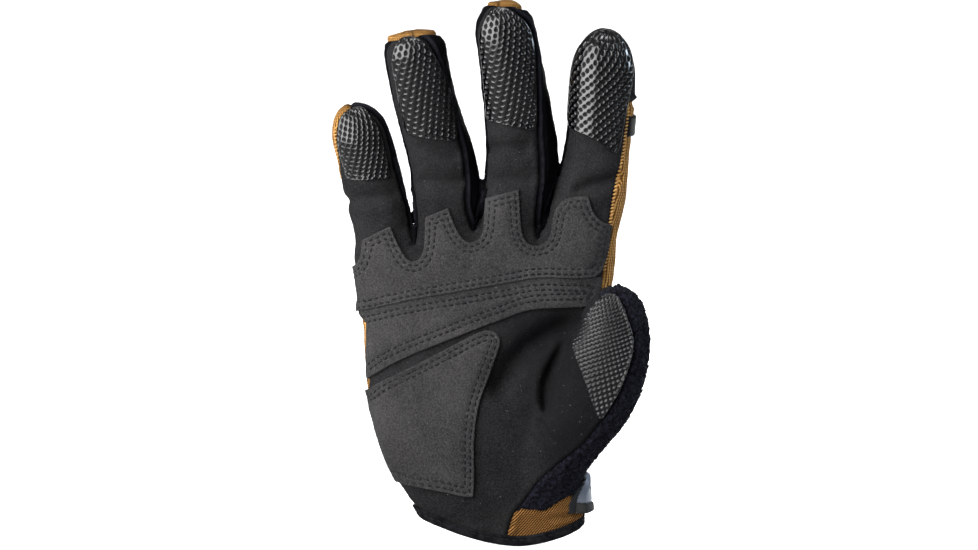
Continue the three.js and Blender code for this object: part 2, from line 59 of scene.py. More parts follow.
def mesh_of(name, points, faces, uv=None):
    """An object at the origin from points in millimetres and triangles, with an optional uv per point."""
    mesh = bpy.data.meshes.new(name)
    mesh.vertices.add(len(points))
    mesh.vertices.foreach_set("co", (np.asarray(points) / 1000).astype(np.float32).ravel())
    mesh.loops.add(faces.size)
    mesh.loops.foreach_set("vertex_index", faces.astype(np.int32).ravel())
    mesh.polygons.add(len(faces))
    mesh.polygons.foreach_set("loop_start", np.arange(0, faces.size, 3, dtype=np.int32))
    mesh.polygons.foreach_set("use_smooth", np.ones(len(faces), bool))
    mesh.update(calc_edges=True)
    if uv is not None:
        layer = mesh.uv_layers.new(name="cloth")
        layer.data.foreach_set("uv", np.asarray(uv)[faces.ravel()].astype(np.float32).ravel())
    made = bpy.data.objects.new(name, mesh)
    bpy.context.scene.collection.objects.link(made)
    return made


sweep_turn = np.linspace(0, np.pi / 2, 13)
sweep_y = np.concatenate([[-4000], 1750 + 900 * np.sin(sweep_turn), [2650]])
sweep_z = np.concatenate([[0], 900 - 900 * np.cos(sweep_turn), [5000]]) - 5
sweep_x = np.linspace(-5000, 5000, 5)
sweep_points = np.stack(np.broadcast_arrays(sweep_x[None, :], sweep_y[:, None], sweep_z[:, None]), 2)
studio_floor = mesh_of("studio_floor", sweep_points.reshape(-1, 3), grid_faces(len(sweep_y), 5))
paper = bpy.data.materials.new("pale_paper")
paper.use_nodes = True
paper.node_tree.nodes["Principled BSDF"].inputs["Base Color"].default_value = (0.34, 0.34, 0.34, 1)
paper.node_tree.nodes["Principled BSDF"].inputs["Roughness"].default_value = 0.9
studio_floor.data.materials.append(paper)

scene = bpy.context.scene
scene.view_settings.view_transform = "Standard"
scene.world = bpy.data.worlds.new("soft_room")
scene.world.use_nodes = True
scene.world.node_tree.nodes["Background"].inputs["Color"].default_value = (1, 1, 1, 1)
room = scene.world.node_tree
room_way = room.nodes.new("ShaderNodeTexCoord")
room_split = room.nodes.new("ShaderNodeSeparateXYZ")
room_range = room.nodes.new("ShaderNodeMapRange")
for key, value in {"From Min": -0.1, "From Max": 0.6, "To Min": 0.06, "To Max": 0.25}.items():
    room_range.inputs[key].default_value = value
room.links.new(room_way.outputs["Generated"], room_split.inputs["Vector"])
room.links.new(room_split.outputs["Z"], room_range.inputs["Value"])
room.links.new(room_range.outputs["Result"], room.nodes["Background"].inputs["Strength"])


def softbox(name, place, aim, size, watts, spread=180, colour=(1, 1, 1)):
    """A rectangular lamp at a place in millimetres, facing a point, with its light kept within a cone."""
    lamp = bpy.data.lights.new(name, "AREA")
    lamp.shape = "RECTANGLE"
    lamp.size, lamp.size_y = size[0] / 1000, size[1] / 1000
    lamp.energy = watts
    lamp.spread = np.radians(spread)
    lamp.color = colour
    made = bpy.data.objects.new(name, lamp)
    made.location = [v / 1000 for v in place]
    toward = Vector([b - a for a, b in zip(place, aim)])
    made.rotation_mode = "QUATERNION"
    made.rotation_quaternion = toward.to_track_quat("-Z", "Y")
    scene.collection.objects.link(made)


softbox("key_softbox", (-385, -400, 285), (-40, -50, 250), (640, 560), 5.3, 130)
softbox("side_softbox", (900, -60, 480), (20, 0, 150), (160, 520), 0.8, 70, (0.72, 0.86, 1))
softbox("top_softbox", (-60, -560, 1150), (0, 0, 150), (900, 200), 0.5, 50)
softbox("backdrop_softbox", (0, 1500, 1900), (0, 1700, 0), (3000, 1200), 120, 90)
softbox("floor_softbox", (0, 330, 700), (0, 330, 0), (2600, 200), 30, 60)

camera_data = bpy.data.cameras.new("camera")
camera_data.lens = LENS
camera_data.sensor_width = 36
camera_data.clip_end = 50
camera = bpy.data.objects.new("camera", camera_data)
stand_off = VIEW_WIDTH * LENS / camera_data.sensor_width
camera.location = [v / 1000 for v in (VIEW_CENTRE[0], VIEW_CENTRE[1] - stand_off, VIEW_CENTRE[2])]
camera.rotation_euler = (np.pi / 2, 0, 0)
scene.collection.objects.link(camera)
scene.camera = camera

# The skin: suede, knit and stretch cloth over a lining, 1.8 mm in all, sewn into one hollow body. Its
# form is worked out first, as digits and a palm that flow together, and then cut along its seams.
CELL = 1.05
SKIN = 1.8
RAW_EDGE = 1.6  # the cloth ends this high over the cuff's edge, inside its binding

# Each row is a section: middle x, y, z, half width and half depth
LITTLE = [
    (-43, 0, 104, 10.5, 9.5), (-46.8, -0.5, 131, 12.2, 11.8), (-51, -3.2, 149, 12.4, 11.7),
    (-54.9, -6.6, 165, 12.2, 11.6), (-57.7, -9.2, 173, 12.1, 10.8),
]
RING = [
    (-17.2, 0, 104, 11, 9.5), (-20.6, -0.5, 131, 12.9, 12.4), (-20.7, -1.5, 142, 14.1, 12.4),
    (-22.4, -4.6, 158, 13.9, 12.4), (-26.7, -8.4, 172, 13.1, 12.2), (-30.2, -12.8, 185, 12.9, 12),
    (-32.6, -17.4, 198, 12.9, 11.2), (-33.9, -19.9, 206, 13, 10.4),
]
MIDDLE = [
    (6, 0, 104, 11, 9.5), (4.9, -0.5, 131, 12.5, 12.6), (7.6, -1.5, 142, 13.9, 12.6),
    (10.2, -4.4, 158, 15, 12.6), (9.1, -8, 173, 14.3, 12.4), (6.6, -13, 190, 13.3, 12.3),
    (3.6, -18.4, 208.5, 12.6, 10.9), (1.6, -20.4, 217, 12.3, 9.9),
]
INDEX = [
    (30.8, 0, 104, 13, 9.5), (34.2, -0.5, 131, 15.8, 12.8), (37.7, -1, 142, 15.3, 12.7),
    (40.4, -2.5, 157, 14, 12.4), (42.2, -4.8, 173, 13.4, 12.2), (43.3, -7.2, 187, 13.5, 12),
    (43.8, -9.6, 198, 13.3, 11.2),
]
THUMB = [
    (15, -3, 20, 11, 11), (22, -8.5, 33, 13, 13.6), (30, -15.3, 46.5, 14.6, 14.4),
    (39, -21.6, 61, 16.8, 14.2), (44.8, -25.4, 76, 16.6, 13.4), (46.9, -27.2, 88.5, 15.2, 13),
]
PALM = [
    (4, 3, -8, 29.6, 14), (3.4, 1.8, 10, 32, 16), (0.2, -0.6, 27, 36.6, 17.4), (-4.9, -1.8, 46, 42.1, 17.8),
    (-6.9, -1.4, 69, 46.9, 16.8), (-6.6, -0.7, 88, 48.5, 16), (-5.7, -0.2, 104.6, 51.3, 15.2),
    (-4.9, 0, 118, 53.1, 13.8), (-5, 0, 126, 50, 10), (-5, 0, 129, 47, 7),
]


def ramp(value, start, length):
    """0 up to a start, 1 from a length beyond it, and a straight rise between."""
    return np.clip((value - start) / length, 0, 1)


def eased(share):
    """A share from 0 to 1 with a gentle start and end: 3 t^2 - 2 t^3."""
    return share * share * (3 - 2 * share)


def bell(off, width):
    """1 where a distance is zero, and 1 / e at a width from there."""
    return np.exp(-(off / width) ** 2)


def spot(x, z, middle, size):
    """1 at a place in a plane, and 1 / e where the square of the distance from it is the size."""
    return np.exp(-((x - middle[0]) ** 2 + (z - middle[1]) ** 2) / size)


def quarter_round(depth, radius):
    """The height of a rounded edge as a share of its radius, at a depth in from it."""
    return np.sqrt(1 - (1 - ramp(depth, 0, radius)) ** 2)


# Columns of a course's table: after its middle line and its half width and depth, the directions along it,
# to the thumb side and to the palm side
ALONG, SIDE, FRONT = slice(5, 8), slice(8, 11), slice(11, 14)


def course(rows, tip, dome, power, squareness=2.25, step=0.5):
    """The middle line and section sizes at every half millimetre of height: a cubic through the rows whose
    slope at each row is that of the parabola through it and its neighbours, smoothed with a bell curve.
    Above the height dome both sizes shrink by (1 - t^power)^0.5, with t from 0 there to 1 at the tip."""
    known = np.array(rows + [(*tip, *rows[-1][3:])], float)
    knot = known[:, 2]
    slope = np.gradient(known, knot, axis=0)
    height = np.arange(knot[0], knot[-1] + step / 2, step)
    k = np.clip(np.searchsorted(knot, height, "right") - 1, 0, len(knot) - 2)
    span = (knot[k + 1] - knot[k])[:, None]
    t = (height - knot[k])[:, None] / span
    table = ((1 + 2 * t) * (1 - t) ** 2 * known[k] + t * (1 - t) ** 2 * span * slope[k]
             + t * t * (3 - 2 * t) * known[k + 1] + t * t * (t - 1) * span * slope[k + 1])
    weights = np.exp(-0.5 * (np.arange(-20, 21) * step / 3.5) ** 2)
    padded = np.pad(table, ((20, 20), (0, 0)), mode="reflect", reflect_type="odd")
    table = np.stack([np.convolve(padded[:, c], weights / weights.sum(), "valid") for c in range(5)], 1)
    share = ramp(height, dome, known[-1, 2] - dome)
    sizes = table[:, 3:] * np.sqrt(1 - share ** power)[:, None]
    along = np.gradient(table[:, :3], axis=0)
    along /= np.linalg.norm(along, axis=1)[:, None]
    front = np.array([0, -1.0, 0]) + along * along[:, 1:2]
    front /= np.linalg.norm(front, axis=1)[:, None]
    side = np.cross(along, front)
    table = np.hstack([table[:, :3], np.maximum(sizes, 0.05), along, side, front])
    return {"table": table, "low": height[0], "high": height[-1], "step": step, "n": squareness,
            "box": rows_box(known)}


def rows_box(rows):
    """The lowest and highest corners of a course's sections, with 9 mm to spare."""
    half = rows[:, [3, 4]].max(0) * 1.15 + 9
    low = np.array([*(rows[:, :2].min(0) - half), rows[0, 2] - 9])
    return low, np.array([*(rows[:, :2].max(0) + half), rows[-1, 2] + 9])


little = course(LITTLE, (-59.9, -11.4, 181), 165, 2.2)
ring = course(RING, (-34.6, -21, 210.4), 199, 3.4)
middle = course(MIDDLE, (-0.3, -21.4, 221.8), 208.5, 2.7)
index = course(INDEX, (42.8, -12, 211.6), 187, 2.5)
thumb = course(THUMB, (49.9, -28.4, 106.6), 84, 2.0)
palm = course(PALM, (-5, 0, 131), 129, 2.0, 2.5)


def row_at(c, s):
    """A course's row at each height."""
    at = np.clip((s - c["low"]) / c["step"], 0, len(c["table"]) - 1.001)
    i = at.astype(int)
    share = (at - i)[:, None]
    return c["table"][i] * (1 - share) + c["table"][i + 1] * share


def station(points, c):
    """The course's row at each point, where the middle line's normal plane passes through the point, and
    how far the point lies past the line's upper end, or with a minus sign its lower end, else 0."""
    s = points[:, 2]
    for _ in range(6):
        s = np.clip(s, c["low"], c["high"])
        row = row_at(c, s)
        lag = ((points - row[:, :3]) * row[:, ALONG]).sum(1)
        s = s + lag * row[:, ALONG][:, 2]
    return row, np.where((s > c["high"]) | (s < c["low"]), lag, 0)


def outside(points, c):
    """About how far points lie outside a course. With offsets u and v from the middle line as shares of
    the section's half sizes, it is ((|u|^n + |v|^n)^(1/n) - 1) over that function's slope."""
    row, past = station(points, c)
    n = c["n"]
    d = points - row[:, :3]
    u = np.abs((d * row[:, SIDE]).sum(1)) / row[:, 3] + 1e-6
    v = np.abs((d * row[:, FRONT]).sum(1)) / row[:, 4] + 1e-6
    g = (u ** n + v ** n) ** (1 / n)
    slope = g ** (1 - n) * np.hypot(u ** (n - 1) / row[:, 3], v ** (n - 1) / row[:, 4])
    r = (g - 1) / slope
    r = np.where(past > 0, np.hypot(np.maximum(r, 0), past), r)
    return np.where(past < 0, np.maximum(r, -past), r)


def flowing(a, b, k):
    """The union of two distances, rounded where they differ by less than k."""
    h = np.clip(0.5 + 0.5 * (b - a) / k, 0, 1)
    return b + (a - b) * h - k * h * (1 - h)


def near(points, c):
    """outside() where the course's box holds the point, and 20 elsewhere."""
    inside = np.all((points > c["box"][0]) & (points < c["box"][1]), 1)
    value = np.full(len(points), 20.0)
    value[inside] = outside(points[inside], c)
    return value


def to_side(x, z, a, b):
    """The distance in the XZ plane from points to a straight side, and the share of its length there."""
    ex, ez = b[0] - a[0], b[1] - a[1]
    t = np.clip(((x - a[0]) * ex + (z - a[1]) * ez) / max(ex * ex + ez * ez, 1e-9), 0, 1)
    return np.hypot(x - a[0] - t * ex, z - a[1] - t * ez), t


def to_line(x, z, path):
    """The distance in the XZ plane from points to a broken line, and the share of its length there."""
    path = np.array(path, float)
    best = np.full(np.shape(x), 1e9)
    share = np.zeros(np.shape(x))
    lengths = np.hypot(*np.diff(path, axis=0).T)
    done = np.concatenate([[0], np.cumsum(lengths)]) / lengths.sum()
    for k in range(len(path) - 1):
        d, t = to_side(x, z, path[k], path[k + 1])
        closer = d < best
        best = np.where(closer, d, best)
        share = np.where(closer, done[k] + t * (done[k + 1] - done[k]), share)
    return best, share


def side_of(x, z, path):
    """Positive on the left of a broken line, seen along it, in the XZ plane; its size is the distance."""
    best = np.full(np.shape(x), 1e9)
    signed = np.zeros(np.shape(x))
    for a, b in zip(path, path[1:]):
        d, _ = to_side(x, z, a, b)
        cross = (b[0] - a[0]) * (z - a[1]) - (b[1] - a[1]) * (x - a[0])
        closer = d < best
        best = np.where(closer, d, best)
        signed = np.where(closer, np.sign(cross) * d, signed)
    return signed


# Folds of the palm, each a line in x and z, its width, its depth and how its two sides are lifted
VALLEY = [(36, 94), (30, 90.8), (21.7, 87), (12.5, 81.2), (6, 73.6), (1.6, 66.2), (-0.4, 57)]
CREASE = [(28.5, 86), (24.6, 77.5), (21.9, 72.2), (19.9, 66), (19.4, 60.3), (20.6, 50.4)]
BRANCH = [(16.6, 53), (19, 47.6), (22.9, 41.6)]
FOLDS = [(VALLEY, 4.2, 5.6, 0.6), (CREASE, 1.5, 2.2, 0.8), (BRANCH, 1.2, 1.2, 0.4)]
JOINT_FOLDS = [
    ([(-34, 164), (-14, 159)], 1.9, 1.3, 0.4), ([(-34, 149), (-11, 148)], 2.4, 1.9, 0.5),
    ([(-5, 162), (15, 162)], 2.6, 2.1, 0.5), ([(-5, 149), (18, 150)], 2.6, 1.2, 0.4),
    ([(29, 143.5), (53, 152)], 2.3, 2.4, 0.6), ([(-66, 141), (-38, 144)], 2.1, 1.3, 0.4),
]


def pressed(points):
    """How deep the folds press the palm side in: a bell across each line, faded at its ends, less a lift
    on both of its flanks."""
    deep = np.zeros(len(points))
    before = points[:, 1] < 2
    x, z = points[before, 0], points[before, 2]
    for path, width, depth, lift in FOLDS + JOINT_FOLDS:
        d, share = to_line(x, z, path)
        fade = eased(np.clip(np.minimum(share, 1 - share) * 5, 0, 1))
        shape = depth * bell(d, width) - lift * bell(d - 2.6 * width, 1.3 * width)
        deep[before] += fade * shape
    return deep


def hand(points):
    """The distance to the fingers and palm without the thumb."""
    fingers = flowing(flowing(near(points, little), near(points, ring), 2.0),
                      flowing(near(points, middle), near(points, index), 2.0), 3.0)
    return flowing(fingers, near(points, palm), 6.0) + pressed(points)


def glove(points):
    """The distance to the whole glove."""
    return flowing(hand(points), near(points, thumb) + pressed(points), 4.0)


def slope_of(field, points, reach=0.15):
    """A field's gradient by central differences, and its length."""
    steps = np.eye(3) * reach
    g = np.stack([field(points + s) - field(points - s) for s in steps], 1) / (2 * reach)
    return g, np.linalg.norm(g, axis=1)


def outward(field, points):
    """The unit normals of a field at points."""
    g, size = slope_of(field, points)
    return g / np.maximum(size, 1e-6)[:, None]


def settled(field, points, rounds=2):
    """Points moved along the gradient on to the surface where the field is zero."""
    for _ in range(rounds):
        g, size = slope_of(field, points)
        points = points - g * (np.clip(field(points), -1, 1) / np.maximum(size, 0.2) ** 2)[:, None]
    return points


def net(field, low, high, cell):
    """A closed surface where the field changes sign: each cell of a lattice that the surface crosses holds
    one point, the mean of the crossings on its edges, and four cells round a crossed edge give a face."""
    axes = [np.arange(a, b, cell) for a, b in zip(low, high)]
    lattice = np.stack(np.meshgrid(*axes, indexing="ij"), 3)
    value = field(lattice.reshape(-1, 3)).reshape(lattice.shape[:3])
    total = np.zeros([n - 1 for n in value.shape] + [3])
    count = np.zeros([n - 1 for n in value.shape])
    faces = []
    crossed = []
    for axis in range(3):
        lo = [slice(None)] * 3
        hi = [slice(None)] * 3
        lo[axis], hi[axis] = slice(0, -1), slice(1, None)
        a, b = value[tuple(lo)], value[tuple(hi)]
        change = (a < 0) != (b < 0)
        t = np.where(change, a / np.where(change, a - b, 1), 0)
        where = lattice[tuple(lo)] + t[..., None] * (np.eye(3)[axis] * cell)
        others = [k for k in range(3) if k != axis]
        for first in (0, 1):
            for second in (0, 1):
                cut = [slice(None)] * 3
                cut[others[0]] = slice(first, value.shape[others[0]] - 1 + first)
                cut[others[1]] = slice(second, value.shape[others[1]] - 1 + second)
                total += where[tuple(cut)] * change[tuple(cut)][..., None]
                count += change[tuple(cut)]
        crossed.append((axis, others, change, a < 0))
    number = np.cumsum(count.ravel() > 0).reshape(count.shape) - 1
    points = total[count > 0] / count[count > 0][:, None]
    for axis, others, change, inward in crossed:
        inner = [slice(None)] * 3
        inner[others[0]] = slice(1, -1)
        inner[others[1]] = slice(1, -1)
        spots = np.argwhere(change[tuple(inner)])
        flip = inward[tuple(inner)][tuple(spots.T)]
        spots[:, others[0]] += 1
        spots[:, others[1]] += 1
        shift = np.zeros((4, 3), int)
        shift[1:3, others[0]] = -1
        shift[2:4, others[1]] = -1
        ring_of = np.stack([number[tuple((spots + s).T)] for s in shift], 1)
        if axis != 1:
            flip = ~flip
        ring_of[flip] = ring_of[flip][:, ::-1]
        faces += [ring_of[:, [0, 1, 2]], ring_of[:, [0, 2, 3]]]
    return points, np.concatenate(faces)


def cut(points, faces, value):
    """Triangles cut in two or three where the value, one for each point, passes through zero. New points
    lie on the crossed edges and are shared, so nothing opens."""
    value = np.where(np.abs(value) < 1e-4, 0, value)
    side = np.sign(value)[faces]
    both = (side.min(1) < 0) & (side.max(1) > 0)
    crossed, s = faces[both], side[both]
    through = (s == 0).any(1)
    lone = np.where(through, np.argmax(s == 0, 1), np.argmax(s * s.sum(1)[:, None] < 0, 1))
    turned = crossed[np.arange(len(crossed))[:, None], (lone[:, None] + np.arange(3)) % 3]
    a, b, c = turned[through].T
    d, e, f = turned[~through].T
    edges = np.sort(np.concatenate([np.stack([b, c], 1), np.stack([d, e], 1), np.stack([d, f], 1)]), 1)
    edges, which = np.unique(edges, axis=0, return_inverse=True)
    which = which.ravel() + len(points)
    v = value[edges]
    t = (v[:, 0] / (v[:, 0] - v[:, 1]))[:, None]
    painted_shade = points[edges[:, 0]] * (1 - t) + points[edges[:, 1]] * t
    p = which[:len(a)]
    q, r = which[len(a):len(a) + len(d)], which[len(a) + len(d):]
    pieces = [faces[~both], np.stack([a, b, p], 1), np.stack([a, p, c], 1),
              np.stack([d, q, r], 1), np.stack([q, e, f], 1), np.stack([q, f, r], 1)]
    return np.vstack([points, painted_shade]), np.concatenate(pieces)


def used(points, faces, *columns):
    """Only the points that the faces use, with the faces and any other columns renumbered."""
    keep, again = np.unique(faces, return_inverse=True)
    return (points[keep], again.reshape(faces.shape), *[c[keep] for c in columns])


def areas_of(points, faces):
    """The triangles' area vectors, twice their areas long."""
    p = points[faces]
    return np.cross(p[:, 1] - p[:, 0], p[:, 2] - p[:, 0])


def normals_of(points, faces):
    """Unit normals at points, the sum of the faces' area vectors around each."""
    area = areas_of(points, faces)
    total = np.stack([np.bincount(faces.ravel(), np.repeat(area[:, k], 3), len(points)) for k in range(3)], 1)
    return total / np.maximum(np.linalg.norm(total, axis=1), 1e-9)[:, None]


def rounded(outline, times=2, closed=True):
    """An outline with its corners cut at a quarter and three quarters of each side, again and again."""
    p = np.array(outline, float)
    for _ in range(times):
        q = np.roll(p, -1, 0) if closed else p[1:]
        a = p if closed else p[:-1]
        mixed = np.stack([a * 0.75 + q * 0.25, a * 0.25 + q * 0.75], 1).reshape(-1, 2)
        p = mixed if closed else np.vstack([p[:1], mixed, p[-1:]])
    return p


def beyond(x, z, outline):
    """The distance from an outline in the XZ plane, negative inside it: the nearest side's distance, and
    the sign from how many sides a line upwards from the point crosses."""
    best = np.full(np.shape(x), 1e9)
    inside = np.zeros(np.shape(x), bool)
    for a, b in zip(outline, np.roll(outline, -1, 0)):
        best = np.minimum(best, to_side(x, z, a, b)[0])
        if a[0] != b[0]:
            inside ^= ((a[0] > x) != (b[0] > x)) & (z < a[1] + (x - a[0]) * (b[1] - a[1]) / (b[0] - a[0]))
    return np.where(inside, -best, best)


# The edge of the palm panel as the camera sees it: up and down each finger, round the thumb, to the cuff
PALM_OUTLINE = rounded([
    (-63.5, 144.7), (-63.9, 149.9), (-65.2, 157.6), (-66, 164), (-66.1, 169.7), (-65.2, 173),
    (-63.9, 175.1), (-61.9, 177.7), (-59.6, 179.3), (-57, 179.9), (-54.8, 179.7), (-52.5, 179.2),
    (-48.8, 176.7), (-46.3, 173.4), (-44.7, 168.5), (-43.5, 163.6), (-42.2, 158.7), (-41.4, 153.8),
    (-39.8, 148.8), (-38.5, 143.9), (-36.9, 139), (-35.7, 132.8), (-34.9, 126.7), (-34, 122.6),
    (-33.2, 123.8), (-32.8, 131.2), (-33.4, 138.2), (-34.4, 145.5), (-35.5, 153.8), (-36.1, 161.9),
    (-36.7, 168.1), (-37.9, 175.1), (-38.9, 180.4), (-40.1, 186.1), (-41.4, 192.3), (-42.3, 197.6),
    (-42, 202.5), (-40.6, 205), (-37.7, 207), (-34.4, 207.7), (-32, 207.8), (-29.1, 206.2),
    (-26.6, 203.5), (-23.7, 196.6), (-20.6, 188.8), (-18.9, 182), (-17.2, 175.1), (-15.9, 168.1),
    (-13.7, 161.1), (-13, 155.4), (-12.8, 149.6), (-12.7, 139.4), (-11.9, 134.9), (-10.2, 130.8),
    (-9.3, 128.7), (-8.4, 130.6), (-6.6, 134.9), (-5.3, 141.4), (-3.9, 149.6), (-3.3, 161.9),
    (-3.5, 174.2), (-4.2, 184.5), (-5.5, 193.1), (-6.6, 198.8), (-6.8, 205), (-6.1, 210.3),
    (-4.5, 215.2), (-1.6, 218.5), (1.2, 219.8), (3.7, 219.8), (7, 217.7), (10.5, 215.5), (13.5, 212.4),
    (15, 209.1), (16, 201.8), (16.2, 190.6), (16.3, 180.2), (16.6, 169.7), (17.2, 159.9), (17.5, 149.9),
    (16.6, 141.4), (16, 133.2), (16.4, 127.1), (17, 125.9), (18, 128.7), (19.5, 131.6), (20.5, 135.7),
    (21.7, 140.2), (23, 144.7), (24.2, 149.2), (25.4, 153.8), (26.4, 157.8), (26.9, 161.9), (26.6, 166),
    (25.8, 174.2), (25, 186.5), (25.8, 198.8), (27.9, 211.1), (32, 231.6), (83.2, 231.6), (83.2, 183.3),
    (56.2, 183.3), (53.9, 180.8), (53.7, 176.3), (52.5, 167.5), (51.6, 158.8), (49, 149.2),
    (47.5, 140.6), (46.4, 131), (45.9, 124), (44.6, 114.4), (42.4, 107), (41, 101.6), (47.6, 104.2),
    (51.2, 98.8), (54.5, 89.4), (55.6, 82.8), (54.3, 75.4), (50.6, 64.8), (45.3, 55.6), (41.8, 51),
    (36, 42.7), (24.3, 33.5), (15.9, 26), (10.9, 17.6), (6.6, 13.5), (4.5, 6.1), (3.7, 0), (3.7, -30.7),
    (-84.9, -30.7), (-84.9, 144.7),
])
# Each row is a height and the back seam's depth there: little finger side, middle, index side
BACK_SEAM = np.array([
    (-30, 4, 3, 6), (60, 3, 2, 3), (67, -8.4, 1.7, 1.9), (91, -9.2, 0.9, -1.3), (97, 3, 0.6, -2.4),
    (108, 3, 0, -4), (131, 3, -0.5, -6), (142, 1, -2.5, -7), (154, -6.4, -4, -8), (164, -9.8, -6.4, -10),
    (176, -13.6, -10, -12.2), (188, -17, -12, -14), (200, -19, -16, -16), (228, -22, -21, -21),
], float)


def behind_seam(points):
    """How far points lie behind the sheet through the side seams."""
    x, y, z = points.T
    low, mid, high = (np.interp(z, BACK_SEAM[:, 0], BACK_SEAM[:, k]) for k in (1, 2, 3))
    depth = mid + (low - mid) * ramp(-x, 45, 10) + (high - mid) * ramp(x, 40, 9)
    return y - depth


def middle_of(points, c):
    """The middle line's x and y at each point's height."""
    return [np.interp(points[:, 2], c["table"][:, 2], c["table"][:, k]) for k in (0, 1)]


def on_front(points):
    """Positive outside the palm panel's outline."""
    return beyond(points[:, 0], points[:, 2], PALM_OUTLINE)


def finger_at(points):
    """The x and y of the nearest finger's middle line at each point's height."""
    lines = np.stack([middle_of(points, c) for c in (little, ring, middle, index)])
    chosen = np.argmin(np.abs(points[:, 0] - lines[:, 0]), 0)
    return lines[chosen, :, np.arange(len(points))].T


def side_wall(points):
    """How far points lie behind the line where a finger's front turns into its side wall."""
    return points[:, 1] - finger_at(points)[1] + 4.2


def side_back(points):
    """How far points lie behind the line where a finger's side wall meets the back."""
    return side_wall(points) - 9.2


def over_web(points):
    """Height above the lower edge of the cloth between the fingers."""
    return points[:, 2] - np.interp(points[:, 0], [-34, -9, 16], [113, 118, 116])


def dorsal(points):
    """How far points lie on the thumb's outer side, across its middle line."""
    x, y = middle_of(points, thumb)
    return (points[:, 0] - x) * 0.879 + (points[:, 1] - y) * 0.477 - 1.5


def over_rim(points):
    """Height above the edge of the cuff, an arc in front and a flatter, higher one behind."""
    x, y, z = points.T
    front, back = -0.8 + 0.0271 * np.abs(x - 9) ** 1.63, 8 + 0.003 * (x - 4) ** 2
    return z - front - (back - front) * ramp(y, -15, 30)


def ring_cap(points):
    """Height above the edge of the back's cloth where it laps over the ring finger's tip."""
    return points[:, 2] - 205.6 - 0.18 * (points[:, 0] + 45)


def middle_cap(points):
    """The same over the middle finger's tip."""
    return points[:, 2] - 219.9


FLAP_TOP = [(3, -8), (4.6, 6), (6.8, 13.4), (10, 15.2), (19.7, 14.3), (25.8, 18.4), (31, 20.6), (60, 20.6)]


def under_flap_top(points):
    """Distance below the upper edge of the cuff flap."""
    return -side_of(points[:, 0], points[:, 2], FLAP_TOP)


SEAMS = [behind_seam, on_front, side_wall, side_back, over_web, dorsal, ring_cap, middle_cap, under_flap_top]


def seamed(points, faces, seam, cell, held):
    """A mesh with points along the line where a function is zero. Points within 0.3 of a cell are moved
    there over the surface, unless an earlier line holds them or a triangle would fold over, and triangles
    it still crosses are cut."""
    value = seam(points)
    close = np.flatnonzero((np.abs(value) < 0.3 * cell) & ~held)
    n = normals_of(points, faces)[close]
    g, _ = slope_of(seam, points[close])
    g -= n * (g * n).sum(1)[:, None]
    length = np.linalg.norm(g, axis=1)
    good = length > 0.3
    moved = points.copy()
    moved[close[good]] -= (g * (value[close] / np.maximum(length, 0.3) ** 2)[:, None])[good]
    before = areas_of(points, faces)
    for _ in range(3):
        after = areas_of(moved, faces)
        room = 0.3 * np.linalg.norm(before, axis=1) * np.linalg.norm(after, axis=1)
        folded = np.unique(faces[(before * after).sum(1) < room])
        moved[folded] = points[folded]
    points = moved
    value = seam(points)
    points, faces = cut(points, faces, np.where(np.abs(value) < 0.02, 0, value))
    held = np.append(held, np.zeros(len(points) - len(held), bool))
    return points, faces, held | (np.abs(seam(points)) < 0.03)


skin_points, skin_faces = net(glove, (-73, -46, -7), (66, 24, 226), CELL)
skin_points = settled(glove, skin_points, 3)
keep = (over_rim(skin_points) > -3)[skin_faces].all(1)
skin_points, skin_faces = used(skin_points, skin_faces[keep])
held = np.zeros(len(skin_points), bool)
for seam in SEAMS + [lambda p: over_rim(p) - RAW_EDGE]:
    skin_points, skin_faces, held = seamed(skin_points, skin_faces, seam, CELL, held)
skin_points = settled(glove, skin_points, 1)

centre = skin_points[skin_faces].mean(1)
skin_faces = skin_faces[over_rim(centre) > RAW_EDGE]
# Each triangle's cloth is told by where its centre lies. The knit comes round to the front beside the
# little and index fingers and over the ring and middle fingers' tips, and the index finger's tip is black.
centre = skin_points[skin_faces].mean(1)
x, y, z = centre.T
behind, front_out = behind_seam(centre) > 0, on_front(centre) > 0
of_thumb = near(centre, thumb) < hand(centre) - 0.2
index_tip = (z > 181) & (x > 24)
capped = ((ring_cap(centre) > 0) & (x < -18)) | ((middle_cap(centre) > 0) & (np.abs(x - 4) < 16))
edge_left = front_out & (x < -52) & (z > 144)
edge_right = front_out & ~of_thumb & (x > 40) & (z > 100) & (z < 181.5)
tan = (behind | capped | edge_left | edge_right) & ~index_tip
in_front_of_back = y < 8
flap = (under_flap_top(centre) > 0) & (x > 4) & (z < 24) & in_front_of_back
towel = of_thumb & (z > 46) & np.where(y < middle_of(centre, thumb)[1] - 3, front_out, dorsal(centre) > 0)
towel |= front_out & (z < 56) & (x > 3) & in_front_of_back
towel |= of_thumb & front_out & (z > 99) & (x > 47.5)
between = (x > middle_of(centre, little)[0]) & (x < middle_of(centre, index)[0]) & (side_back(centre) < 0)
wall = (side_wall(centre) > 0) & between
beside = front_out & ~behind & between & ((x > finger_at(centre)[0]) | (z < 146))
gusset = (over_web(centre) > 0) & (beside | wall) & ~index_tip & ~capped
SUEDE, STRETCH, KNIT, TERRY, FLAP = range(5)
label = np.full(len(centre), SUEDE)
label[tan] = KNIT
label[gusset & (~behind | wall)] = STRETCH
label[towel] = TERRY
label[flap] = FLAP
left_of_ring, left_of_middle = [x < middle_of(centre, c)[0] for c in (ring, middle)]
PANELS = {
    "palm_panel": label == SUEDE,
    "back_panel": label == KNIT,
    "thumb_terry": label == TERRY,
    "cuff_flap": label == FLAP,
    "gusset_little_ring": (label == STRETCH) & left_of_ring,
    "gusset_ring_middle": (label == STRETCH) & ~left_of_ring & left_of_middle,
    "gusset_middle_index": (label == STRETCH) & ~left_of_middle,
}


